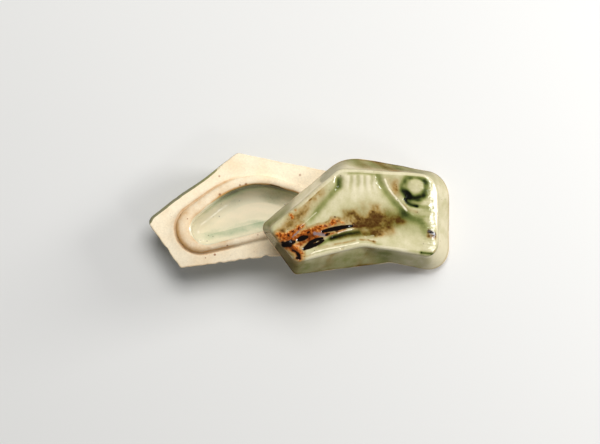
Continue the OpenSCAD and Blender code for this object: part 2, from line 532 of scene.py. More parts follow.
@dataclass(frozen=True)
class Moon:
    """The moon in its ring, in the lid's own millimetres."""

    middle: tuple[float, float] = (21.1, 10.2)
    disc: tuple[float, float] = (3.0, 2.25)
    ring_middle: tuple[float, float] = (20.4, 9.5)
    flat: float = 0.85
    ring: float = 4.7
    ring_width: float = 1.75
    ring_depth: float = 0.2
    pit: Wash = Wash(((17.5, 7.6), (18.2, 6.2)), 1.3, 0.16)
    crescent: Wash = Wash(((16.2, 4.8), (17.0, 3.7), (18.4, 2.9), (20.9, 2.2)), 0.85, 0.6, taper=0.45)
    darks: tuple[Wash, ...] = (
        Wash(((17.6, 7.6), (18.3, 6.3)), 0.95, 0.6),
        Wash(((21.6, 6.3), (25.4, 6.2)), 0.8, 0.14),
        Wash(((16.2, 5.2), (19.0, 4.7), (23.0, 4.3)), 0.5, 0.24),
        Wash(((25.2, 12.2), (26.1, 10.9)), 0.9, 0.25),
        Wash(((21.0, 2.4), (26.5, 1.4)), 1.2, 0.26),
        Wash(((22.0, -1.0), (26.0, -1.6)), 2.2, 0.14),
    )

    def reach(self, x: float, y: float) -> float:
        """Distance from the middle of the ring, on its slightly flattened circle."""
        return math.hypot(x - self.ring_middle[0], (y - self.ring_middle[1]) / self.flat)

    def inside(self, x: float, y: float) -> float:
        """One on the moon's disc, nought outside it."""
        across = (x - self.middle[0]) / self.disc[0]
        up = (y - self.middle[1]) / self.disc[1]
        return 1 - ease(0.75, 1.25, math.hypot(across, up) + 0.06 * ripple(x, y, 1.6, 15.0))

    def groove(self, x: float, y: float) -> float:
        """How far a point lies in the ring, from nought to one."""
        over = bell(x - 21.2, 2.4) * ease(12.4, 14.2, y)
        right = ease(22.0, 26.0, x) * ease(11.0, 8.0, y)
        return (1 - 0.6 * over - 0.3 * right) * bell(self.reach(x, y) - self.ring, self.ring_width)

    def depth(self, x: float, y: float) -> float:
        """How deep the ring is cut at a point."""
        cut_in = self.ring_depth * self.groove(x, y) * (1 - 0.85 * ease(19.5, 23.5, x))
        return (cut_in + self.pit.at(x, y) + self.crescent.at(x, y)) * (1 - 0.85 * self.inside(x, y))

    def pool(self, x: float, y: float) -> float:
        """Glaze gathered round the moon: dark in its ring, almost black in the cuts, thin on the disc."""
        ring = self.groove(x, y)
        depth = ring * (0.54 + 0.28 * ease(11.0, 5.0, y) + 0.26 * ripple(x, y, 1.8, 13.0))
        depth += washed(self.darks, x, y) * (1 + 0.5 * ripple(x / 4, y, 0.7, 16.0))
        depth += 1.2 * self.crescent.at(x, y)
        depth += 0.2 * ripple(x / 6, y, 0.7, 14.0) * bell(y - 1.0, 5.5) * ease(20.0, 24.0, x)
        return depth * (1 - 0.95 * self.inside(x, y))


@dataclass(frozen=True)
class Picture:
    """Carved picture on the lid: a mountain, a moon and a shoreline, in the lid's own millimetres."""

    moon: Moon = Moon()
    moon_from: float = 9.0
    shore_below: float = 0.0
    field_wave: Uneven = Uneven(0.0, ((0.09, 7.0, 3.1), (0.04, 2.2, 5.7)))
    right_streaks: Uneven = Uneven(0.0, ((0.035, 0.8, 6.3),))
    thin_glaze: Uneven = Uneven(0.17, ((0.08, 6.0, 11.0), (0.06, 2.5, 12.0)))
    tan_strength: Uneven = Uneven(0.95, ((0.3, 2.0, 21.0), (0.25, 0.9, 22.0)))
    rust_strength: Uneven = Uneven(0.85, ((0.5, 1.3, 31.0), (0.4, 3.4, 32.0)))
    iron_strength: Uneven = Uneven(0.95, ((0.3, 1.1, 43.0),))
    milk_strength: Uneven = Uneven(0.9, ((0.4, 1.2, 51.0),))
    pale_strength: Uneven = Uneven(0.9, ((0.4, 1.4, 53.0),))
    left_flank: Path = (
        (-9.3, 12.4), (-9.7, 10.0), (-12.0, 7.6), (-15.0, 4.5), (-17.7, 1.8), (-20.8, -1.6), (-24.0, -5.0),
    )
    flank_pit: Path = ((-9.8, 12.4), (-9.6, 10.0))
    right_flank: Path = (
        (5.5, 14.2), (6.5, 11.6), (8.2, 8.6), (10.4, 5.6),
        (12.9, 2.7), (15.2, 0.4), (18.2, -2.0), (22.0, -3.6),
    )
    mountain_rise: float = 0.14
    flank_width: float = 1.3
    pit_depth: float = 0.85
    lip_rise: float = 0.14
    arch: Path = ((-6.2, 13.8), (-4.6, 14.8), (-0.6, 15.0), (3.4, 14.2))
    arch_depth: float = 0.25
    flute_foot: float = 6.0
    flute_top: float = 13.8
    flute_pitch: float = 2.6
    flute_rise: float = 0.07
    strokes: tuple[Wash, ...] = (
        cut(((-33.4, -12.3), (-31.0, -11.6), (-28.7, -10.8)), 1.05, 0.6),
        cut(((-27.2, -10.2), (-25.4, -9.5), (-23.7, -9.1)), 0.95, 0.7),
        cut(((-25.4, -13.6), (-22.3, -11.3), (-20.2, -10.2), (-17.6, -9.6)), 0.75, 0.65),
        cut(((-25.4, -13.8), (-22.0, -12.6), (-19.5, -11.6), (-17.2, -10.4)), 0.7, 0.65),
        cut(((-16.4, -8.5), (-14.7, -7.9)), 0.55, 0.4),
        cut(((-17.4, -7.1), (-15.0, -6.5), (-12.0, -6.0), (-9.0, -5.5), (-5.8, -5.1)), 0.85, 0.65),
    )
    unfilled: float = 0.22
    split: Wash = Wash(((-22.8, -12.1), (-19.6, -10.8)), 0.2, 0.35)
    tail: Path = ((-6.2, -5.2), (-3.0, -5.1), (4.4, -4.4))
    tail_depth: float = 0.25
    burrs: tuple[Wash, ...] = (
        Wash(((-23.4, -12.0), (-20.4, -10.9)), 0.3, 0.3),
        Wash(((-13.6, -8.7), (-10.0, -7.3), (-6.0, -6.4)), 0.5, 0.34),
        Wash(((-22.6, -15.4), (-17.0, -13.9), (-12.0, -13.1), (-6.0, -12.0), (-4.0, -11.5)), 0.5, 0.3),
    )
    furrow: Path = ((-19.4, -12.2), (-15.0, -10.0), (-11.0, -8.6), (-8.0, -7.8), (-3.0, -7.2), (5.0, -7.2))
    furrow_depth: float = 0.45
    notch: Wash = Wash(((-11.0, -13.7), (-10.3, -13.6)), 0.5, 0.5)
    low_furrow: Path = ((19.5, -15.2), (24.0, -15.7), (27.4, -16.0))
    low_furrow_depth: float = 0.4
    greens: tuple[Wash, ...] = (
        Wash(((15.6, -0.8), (19.0, -2.6), (22.0, -3.8), (24.0, -6.6)), 2.2, 0.26),
        Wash(((17.0, -5.6), (22.0, -6.4)), 2.6, 0.12),
        Wash(((-19.4, -12.0), (-15.0, -10.0), (-11.0, -8.6), (-8.0, -7.8), (-3.0, -7.3)), 0.8, 0.44),
        Wash(((-14.0, -9.8), (-8.0, -8.6), (-2.0, -8.3), (2.6, -8.4)), 1.1, 0.36),
        Wash(((-7.0, -0.6), (0.0, -1.6), (8.0, -2.2), (14.0, -3.0)), 3.0, 0.14),
        Wash(((9.0, -0.8), (14.0, -1.6)), 2.0, 0.22),
        Wash(((-5.6, 14.6), (-1.0, 15.0), (3.4, 14.2)), 0.6, 0.25),
        Wash(((21.0, -15.4), (27.2, -16.0)), 0.55, 0.65),
        Wash(((9.0, -14.2), (16.0, -14.7), (21.0, -15.3)), 0.35, 0.2),
        Wash(((-20.0, -15.2), (-8.0, -13.0), (4.0, -12.6)), 0.9, 0.16),
        Wash(((-3.0, -5.4), (4.0, -5.6), (12.0, -4.6)), 1.6, 0.24),
    )
    tans: tuple[Wash, ...] = (
        Wash(((-17.4, 7.6), (-22.0, 3.6), (-28.0, -2.0), (-32.0, -6.4)), 3.0, 0.54),
        Wash(((-8.0, -3.6), (-3.0, -3.9), (2.0, -4.2)), 1.3, 0.36),
        Wash(((-2.0, 1.2), (4.0, 1.0), (10.0, -0.8), (13.0, -1.2)), 2.8, 0.28),
        Wash(((-7.0, -2.4), (2.0, -3.8), (8.0, -4.6)), 3.4, 0.28),
        Wash(((9.0, -5.0), (16.0, -5.0)), 3.0, 0.16),
        Wash(((-23.8, -12.2), (-20.0, -10.9)), 0.5, 0.7),
        Wash(((-23.4, 5.6), (-21.8, 6.1), (-18.6, 8.2), (-15.0, 11.2)), 0.65, 0.48),
        Wash(((-22.0, 4.7), (-21.5, 4.9)), 0.45, 0.7),
        Wash(((-30.6, -4.6), (-27.0, -2.4), (-24.0, 0.0)), 1.9, 0.3),
        Wash(((-35.0, -6.6), (-32.5, -7.0)), 0.9, 0.5),
        Wash(((12.9, 11.4), (12.6, 8.0)), 2.0, 0.5),
        Wash(((9.6, 12.6), (12.2, 8.8), (14.0, 6.6)), 1.4, 0.3),
        Wash(((15.6, 3.0), (17.0, 1.1), (20.4, 0.0)), 0.9, 0.42),
        Wash(((19.6, 3.7), (22.4, 3.4)), 0.5, 0.3),
        Wash(((-8.4, 0.4), (-4.8, 0.1)), 1.4, 0.4),
        Wash(((-5.0, -0.6), (-3.6, -2.4)), 1.5, 0.34),
        Wash(((-8.9, -1.7), (-6.4, -1.8)), 1.4, 0.3),
        Wash(((-2.4, -2.6), (1.0, -3.1)), 1.7, 0.46),
        Wash(((4.2, 1.8), (3.6, -0.4)), 1.6, 0.3),
        Wash(((2.7, -1.4), (4.5, -2.6)), 1.6, 1.0),
        Wash(((5.6, -2.0), (9.0, -3.0), (12.6, -3.1)), 1.9, 0.4),
        Wash(((13.2, -3.2), (14.9, -3.6)), 1.3, 0.6),
        Wash(((-5.0, -5.0), (0.0, -4.6), (4.0, -4.2)), 0.75, 0.95),
        Wash(((-4.5, -6.2), (0.0, -5.9), (6.0, -5.6), (9.0, -5.2)), 1.4, 0.45),
        Wash(((3.0, -7.8), (10.0, -7.6)), 1.9, 0.42),
        Wash(((-14.0, -9.8), (-8.0, -8.6), (-3.0, -8.2), (5.0, -8.2)), 1.2, 0.66),
        Wash(((0.0, 4.0), (6.0, 2.0), (9.0, 0.0)), 2.6, 0.14),
        Wash(((-13.0, -12.0), (-9.0, -11.4), (-5.0, -10.6)), 0.5, 0.6),
        Wash(((-3.2, -10.4), (0.0, -10.6), (2.4, -11.2)), 0.5, 0.65),
        Wash(((2.4, -11.4), (3.6, -14.0)), 0.9, 0.35),
        Wash(((-20.5, -13.4), (-14.0, -12.4)), 0.8, 0.4),
        # Painted shadow: a dark line under the front crest.
        Wash(((-25.4, -16.7), (-21.8, -15.9)), 0.4, 0.8),
        Wash(((-11.2, -13.7), (-10.2, -13.7)), 0.5, 0.8),
        Wash(((-30.4, -12.7), (-26.8, -11.9)), 0.8, 0.3),
        Wash(((26.4, -14.7), (26.9, -14.8)), 0.6, 0.5),
        Wash(((24.6, -9.0), (27.6, -9.4)), 1.1, 0.9),
        Wash(((-8.6, 16.4), (-4.4, 16.6)), 0.8, 0.4),
        Wash(((5.0, 16.2), (9.0, 15.9)), 0.9, 0.4),
        Wash(((17.0, 15.4), (19.6, 15.2)), 0.7, 0.4),
    )
    rusts: tuple[Wash, ...] = (
        Wash(((-34.8, -8.3), (-32.0, -8.8), (-30.0, -8.5)), 1.4, 0.95),
        Wash(((-34.0, -10.4), (-29.0, -9.7)), 1.1, 0.8),
        Wash(((-29.8, -8.3), (-27.6, -6.6), (-25.3, -4.9)), 1.25, 1.0),
        Wash(((-24.8, -7.6), (-21.0, -6.4), (-18.4, -5.7)), 1.2, 1.0),
        Wash(((-23.6, -8.6), (-19.6, -8.4), (-16.4, -7.8)), 1.2, 0.95),
        Wash(((-18.4, -5.9), (-16.0, -5.0), (-12.8, -4.1)), 1.1, 0.85),
        Wash(((-12.9, -2.8), (-11.0, -3.1), (-9.2, -3.6)), 1.2, 0.6),
        Wash(((-29.5, -1.0), (-29.1, -1.9)), 0.75, 1.0),
        Wash(((-27.7, 0.7), (-27.4, 0.9)), 0.45, 0.8),
        Wash(((-12.5, 13.2), (-12.3, 13.2)), 0.55, 0.8),
        Wash(((-14.8, -8.2), (-11.4, -7.3), (-8.4, -6.6)), 0.6, 0.6),
        Wash(((-27.4, -11.8), (-24.0, -10.8), (-20.6, -9.4)), 1.0, 0.9),
        Wash(((-29.0, -9.8), (-26.6, -8.7), (-24.4, -8.2)), 0.9, 0.85),
        Wash(((-30.0, -13.4), (-27.2, -14.6), (-27.4, -16.9)), 1.7, 1.0),
        Wash(((-32.2, -13.0), (-29.6, -13.0)), 0.9, 0.7),
    )
    blacks: tuple[Wash, ...] = (
        Wash(((-30.0, -13.8), (-27.8, -15.0), (-27.4, -16.6)), 1.4, 0.3),
        Wash(((-33.4, -10.6), (-27.0, -8.8), (-21.0, -8.2), (-16.0, -7.2)), 1.5, 0.2),
        Wash(((-26.6, -11.6), (-22.6, -10.2)), 0.8, 0.3),
        Wash(((-23.8, -8.9), (-21.0, -8.7)), 0.8, 0.24),
        Wash(((-31.8, -13.2), (-30.2, -13.0)), 0.8, 0.28),
        Wash(((-29.8, -14.3), (-28.6, -14.5)), 0.5, 0.4),
        Wash(((-28.0, -15.4), (-27.4, -16.0)), 0.6, 0.75),
        Wash(((-28.4, -17.0), (-27.2, -17.2)), 0.5, 0.65),
        Wash(((-30.9, -8.6), (-30.7, -8.5)), 0.4, 0.7),
        Wash(((-33.6, -11.2), (-33.2, -10.9)), 0.4, 0.7),
        Wash(((-23.2, -7.5), (-22.6, -7.2)), 0.4, 0.6),
        Wash(((-12.3, -1.6), (-12.1, -1.7)), 0.35, 0.6),
        Wash(((-11.6, -3.2), (-11.2, -3.3)), 0.35, 0.6),
        Wash(((-12.0, -7.2), (-11.4, -7.0)), 0.35, 0.6),
        Wash(((3.2, -1.8), (4.0, -2.4)), 0.9, 0.3),
        Wash(((24.8, -7.3), (27.2, -8.3)), 0.9, 0.75),
    )
    milks: tuple[Wash, ...] = (
        Wash(((-20.4, -7.8), (-18.6, -8.0), (-16.8, -8.6)), 0.85, 1.0),
        Wash(((-29.2, -9.0), (-27.2, -7.4), (-26.0, -6.2)), 0.5, 0.8),
        Wash(((-17.2, -5.2), (-14.0, -4.6)), 0.45, 0.5),
    )
    pales: tuple[Wash, ...] = (
        Wash(((-11.4, -7.8), (-9.0, -7.0), (-6.0, -6.4)), 0.4, 0.75),
        Wash(((-23.0, -11.9), (-20.8, -11.1)), 0.2, 0.25),
        Wash(
            ((-22.8, -15.6), (-21.4, -14.9), (-17.0, -13.9), (-12.0, -13.1), (-6.0, -12.0), (-4.0, -11.5)),
            0.36, 0.9,
        ),
        Wash(((-1.0, -9.3), (2.4, -8.9)), 0.5, 0.6),
        Wash(((0.5, -10.4), (4.0, -10.7)), 0.4, 0.6),
        Wash(((8.4, 12.4), (10.0, 8.9), (12.2, 5.9), (14.6, 3.0), (16.5, 0.7)), 0.55, 0.85),
        Wash(((17.2, 0.0), (20.6, -1.8)), 0.4, 0.4),
        Wash(((-7.2, 10.4), (-10.4, 6.2), (-14.0, 2.2), (-17.6, -1.8)), 1.3, 0.4),
        Wash(((-19.0, 0.3), (-26.0, -5.3)), 0.35, 0.6),
        Wash(((-33.6, -12.8), (-29.8, -17.2)), 0.5, 0.8),
        Wash(((-28.2, -12.5), (-26.8, -12.3)), 0.6, 0.5),
    )

    def _flutes(self, x: float, y: float) -> float:
        """How far a point lies on one of the fanned ribs under the summit, from -1 to 1."""
        if not self.flute_foot < y < self.flute_top + 1.0:
            return 0.0
        down = (self.flute_top - y) / (self.flute_top - self.flute_foot)
        across = (x + 0.7 + 0.4 * down + 0.4 * ripple(x, y, 3.0, 8.0)) / (self.flute_pitch + 0.4 * down)
        fade = ease(self.flute_foot, 12.0, y) * (1 - ease(self.flute_top - 0.3, self.flute_top + 0.5, y))
        return math.cos(2 * math.pi * across) * fade * (1 - ease(1.8, 2.4, abs(across)))

    def _mountain(self, x: float, y: float) -> float:
        """One on the mountain between its flanks, nought outside it and below its foot."""
        gap, _, side = near(x, y, self.left_flank)
        left = ease(0.2, 2.2, gap * side)
        gap, _, side = near(x, y, self.right_flank)
        right = ease(0.2, 2.2, -gap * side)
        return left * right * ease(-4.0, 6.0, y) * (1 - ease(13.4, 14.6, y))

    def relief(self, x: float, y: float) -> float:
        """Height of the carving above the plain field.

        Args:
            x: First coordinate on the lid.
            y: Second coordinate on the lid.

        Returns:
            Height in millimetres, negative where it is cut in.
        """
        height = self.field_wave.at(x, y) + self.right_streaks.at(x / 5, y) * ease(20.0, 26.0, x)
        height += self.mountain_rise * self._mountain(x, y)
        gap, along, _ = near(x, y, self.left_flank)
        cut_in = (0.2 + 0.2 * ease(0.08, 0.3, along)) * (1 - ease(0.75, 1.0, along))
        height -= cut_in * bell(gap, self.flank_width)
        height -= self.pit_depth * bell(near(x, y, self.flank_pit)[0], self.flank_width)
        gap, along, side = near(x, y, self.right_flank)
        cut_in = 0.25 - 0.21 * ease(0.5, 0.95, along)
        height -= cut_in * bell(gap, 1.8 if side < 0 else self.flank_width)
        height += self.lip_rise * (1 - ease(0.6, 0.8, along)) * bell(gap - 2.0, 0.9) * (side > 0)
        height -= self.arch_depth * bell(near(x, y, self.arch)[0], 0.7)
        height += self.flute_rise * self._flutes(x, y)
        if x > self.moon_from:
            height -= self.moon.depth(x, y)
        if y < self.shore_below:
            height += self._shore(x, y)
        return height

    def _shore(self, x: float, y: float) -> float:
        """Height of the strokes, burrs and furrows of the shoreline."""
        height = washed(self.burrs, x, y) - self.unfilled * washed(self.strokes, x, y) - self.notch.at(x, y)
        gap, along, _ = near(x, y, self.tail)
        height -= self.tail_depth * (1 - along) * bell(gap, 0.5)
        gap, along, _ = near(x, y, self.furrow)
        height -= self.furrow_depth * math.sin(math.pi * (0.1 + 0.88 * along)) * bell(gap, 0.9)
        gap, along, _ = near(x, y, self.low_furrow)
        return height - self.low_furrow_depth * ease(0.0, 0.5, along) * bell(gap, 0.55)

    def pool(self, x: float, y: float) -> float:
        """How thick the green glaze lies at a point, from nought to one."""
        depth = self.thin_glaze.at(x, y)
        depth += washed(self.greens, x, y) - 0.06 * self._mountain(x, y) * ease(2.0, 8.0, y)
        gap, along, _ = near(x, y, self.left_flank)
        depth += 0.34 * (1 - ease(0.8, 1.0, along)) * bell(gap, 1.25)
        depth += 0.3 * bell(near(x, y, self.flank_pit)[0], 1.15)
        gap, along, side = near(x, y, self.right_flank)
        depth += (0.36 - 0.2 * ease(0.6, 1.0, along)) * bell(gap, 1.7 if side < 0 else self.flank_width)
        depth -= 0.14 * self._flutes(x, y)
        if x > self.moon_from:
            depth += self.moon.pool(x, y)
        return depth

    def tan(self, x: float, y: float) -> float:
        """How strongly the glaze is stained tan or brown at a point, from nought to one; one of the tan
        washes is a painted shadow line.
        """
        wash = max(washed(self.tans, x, y), min(4.0 * washed(self.rusts, x, y), 0.6))
        return wash * self.tan_strength.at(x, y)

    def rust(self, x: float, y: float) -> float:
        """How strongly the glaze is rusty orange at a point, from nought to one."""
        return washed(self.rusts, x, y) * self.rust_strength.at(x, y)

    def iron(self, x: float, y: float) -> float:
        """How black the glaze is with iron at a point, from nought to one."""
        black = washed(self.blacks, x, y) + 1.6 * washed(self.strokes, x, y)
        gap, along, _ = near(x, y, self.tail)
        black += 0.5 * (1 - along) * bell(gap, 0.5) - self.split.at(x, y)
        return black * self.iron_strength.at(x, y)

    def lilac(self, x: float, y: float) -> float:
        """How milky lilac the glaze is at a point, from nought to one."""
        return washed(self.milks, x, y) * self.milk_strength.at(x, y)

    def pale(self, x: float, y: float) -> float:
        """How far the glaze breaks pale over an edge at a point, from nought to one."""
        return washed(self.pales, x, y) * self.pale_strength.at(x, y)


class Board:
    """Lays shader nodes out and joins them in one tree."""

    def __init__(self, tree: bpy.types.NodeTree) -> None:
        """Takes over a node tree and clears it."""
        self.tree = tree
        tree.nodes.clear()

    def add(self, kind: str, inputs: dict | None = None, **settings: object) -> bpy.types.Node:
        """Adds a node.

        Args:
            kind: Blender's name of the node's type.
            inputs: Values or output sockets for its inputs, by name or number.
            settings: Its other settings.

        Returns:
            The node.
        """
        node = self.tree.nodes.new(kind)
        for name, value in settings.items():
            setattr(node, name, value)
        for key, value in (inputs or {}).items():
            if isinstance(value, Socket):
                self.tree.links.new(value, node.inputs[key])
            else:
                node.inputs[key].default_value = value
        return node

    def maths(self, operation: str, first: object, second: object = 0.0) -> Socket:
        """Adds an operation on two values and returns its result."""
        return self.add("ShaderNodeMath", {0: first, 1: second}, operation=operation).outputs[0]

    def blend(self, share: object, first: object, second: object, kind: str = "MIX") -> Socket:
        """Adds a mix of two colours and returns its result."""
        node = self.add("ShaderNodeMix", {0: share, 6: first, 7: second}, data_type="RGBA", blend_type=kind)
        return node.outputs[2]

    def stain(self, colour: object, mask: Socket, strength: float, tint: Colour, kind: str = "MIX") -> Socket:
        """Lays a tint over a colour.

        Args:
            colour: The colour under it.
            mask: Where the tint lies.
            strength: How strong it is where the mask is whole.
            tint: The screen colour of the tint.
            kind: How the two colours are mixed.

        Returns:
            The stained colour.
        """
        return self.blend(self.maths("MULTIPLY", mask, strength), colour, srgb(*tint), kind)

    def span(self, value: object, low: object, high: object, start: float = 0.0, end: float = 1.0) -> Socket:
        """Adds a smooth step from one span of values to another and returns its result."""
        node = self.add(
            "ShaderNodeMapRange",
            {"Value": value, "From Min": low, "From Max": high, "To Min": start, "To Max": end},
            interpolation_type="SMOOTHSTEP",
        )
        return node.outputs["Result"]

    def grain(self, where: object, scale: object, detail: float = 3.0, rough: float = 0.55) -> Socket:
        """Adds a noise and returns its value."""
        inputs = {"Vector": where, "Scale": scale, "Detail": detail, "Roughness": rough}
        return self.add("ShaderNodeTexNoise", inputs).outputs["Fac"]

    def drift(self, where: object, scale: float, detail: float, amount: float) -> Socket:
        """Adds a noise about nought and returns its value."""
        return self.maths("MULTIPLY", self.maths("SUBTRACT", self.grain(where, scale, detail), 0.5), amount)

    def mark(self, mark: Mark) -> Socket:
        """Adds a reader of one of the piece's marks and returns its value."""
        return self.add("ShaderNodeAttribute", attribute_name=mark.value).outputs["Fac"]

    def group(self, tree: bpy.types.NodeTree, inputs: dict) -> Socket:
        """Adds a shared shader group and returns its result."""
        return self.add("ShaderNodeGroup", inputs, node_tree=tree).outputs[0]

    def ramp(self, value: object, stops: Stops) -> Socket:
        """Adds a run of colours and returns its result."""
        node = self.add("ShaderNodeValToRGB", {"Fac": value})
        while len(node.color_ramp.elements) < len(stops):
            node.color_ramp.elements.new(0.5)
        for element, (position, colour) in zip(node.color_ramp.elements, stops):
            element.position, element.color = position, srgb(*colour)
        return node.outputs["Color"]

    def grey(self, value: object) -> Socket:
        """Turns a value into a grey colour."""
        return self.add("ShaderNodeCombineColor", {0: value, 1: value, 2: value}).outputs[0]


@dataclass(frozen=True)
class Edge:
    """Ragged edge of a mark: scale and amount of its raggedness, and the values between which it lies."""

    scale: float
    amount: float
    low: float
    high: float


@dataclass(frozen=True)
class Specks:
    """Scatter of iron specks: cells to a metre, share of them that hold a speck, and its size in a cell."""

    scale: float
    share: float
    size: float


class Effects:
    """Shader groups that more than one finish uses."""

    def __init__(self) -> None:
        """Builds every group once."""
        self._specks = self._make_specks()
        self._breakup = self._make_breakup()

    @staticmethod
    def _group(name: str, sockets: Sequence[str]) -> tuple[bpy.types.NodeTree, Board, bpy.types.NodeOutputs]:
        """Starts a group whose one output is a mask.

        Args:
            name: Name of the group.
            sockets: Names of its inputs: coordinates where the name is Vector, and values elsewhere.

        Returns:
            The group, its board and its inputs by name.
        """
        tree = bpy.data.node_groups.new(name, "ShaderNodeTree")
        for socket in sockets:
            kind = "NodeSocketVector" if socket == "Vector" else "NodeSocketFloat"
            tree.interface.new_socket(socket, in_out="INPUT", socket_type=kind)
        tree.interface.new_socket("Mask", in_out="OUTPUT", socket_type="NodeSocketFloat")
        board = Board(tree)
        return tree, board, board.add("NodeGroupInput").outputs

    def _make_specks(self) -> bpy.types.NodeTree:
        """Scattered iron specks: a few of the cells hold a small soft dot."""
        tree, board, given = self._group("iron_specks", ("Vector", "Scale", "Share", "Size"))
        cells = board.add("ShaderNodeTexVoronoi", {"Vector": given["Vector"], "Scale": given["Scale"]})
        draw = board.add("ShaderNodeSeparateColor", {"Color": cells.outputs["Color"]})
        chosen = board.maths("LESS_THAN", draw.outputs[0], given["Share"])
        radius = board.maths("MULTIPLY", given["Size"], board.maths("ADD", draw.outputs[1], 0.35))
        inside = board.maths("SUBTRACT", 1.0, board.maths("DIVIDE", cells.outputs["Distance"], radius))
        soft = board.span(inside, 0.0, 0.7)
        board.add("NodeGroupOutput", {"Mask": board.maths("MULTIPLY", chosen, soft)})
        return tree

    def _make_breakup(self) -> bpy.types.NodeTree:
        """Ragged edge: a painted mask is broken up by a fine noise and tightened."""
        tree, board, given = self._group("ragged_edge", ("Value", "Vector", "Scale", "Amount", "Low", "High"))
        rough = board.grain(given["Vector"], given["Scale"], 4.0, 0.6)
        shift = board.maths("MULTIPLY", board.maths("SUBTRACT", rough, 0.5), given["Amount"])
        shifted = board.maths("ADD", given["Value"], shift)
        board.add("NodeGroupOutput", {"Mask": board.span(shifted, given["Low"], given["High"])})
        return tree

    def ragged(self, board: Board, mark: Mark, where: Socket, edge: Edge) -> Socket:
        """Reads a mark through the ragged edge.

        Args:
            board: The material's board.
            mark: Which mark.
            where: Coordinates.
            edge: How the edge is broken up.

        Returns:
            The mask.
        """
        inputs = {"Value": board.mark(mark), "Vector": where, "Scale": edge.scale, "Amount": edge.amount}
        return board.group(self._breakup, {**inputs, "Low": edge.low, "High": edge.high})

    def speckled(self, board: Board, where: Socket, specks: Specks) -> Socket:
        """Scatters specks and returns their mask."""
        inputs = {"Vector": where, "Scale": specks.scale, "Share": specks.share, "Size": specks.size}
        return board.group(self._specks, inputs)


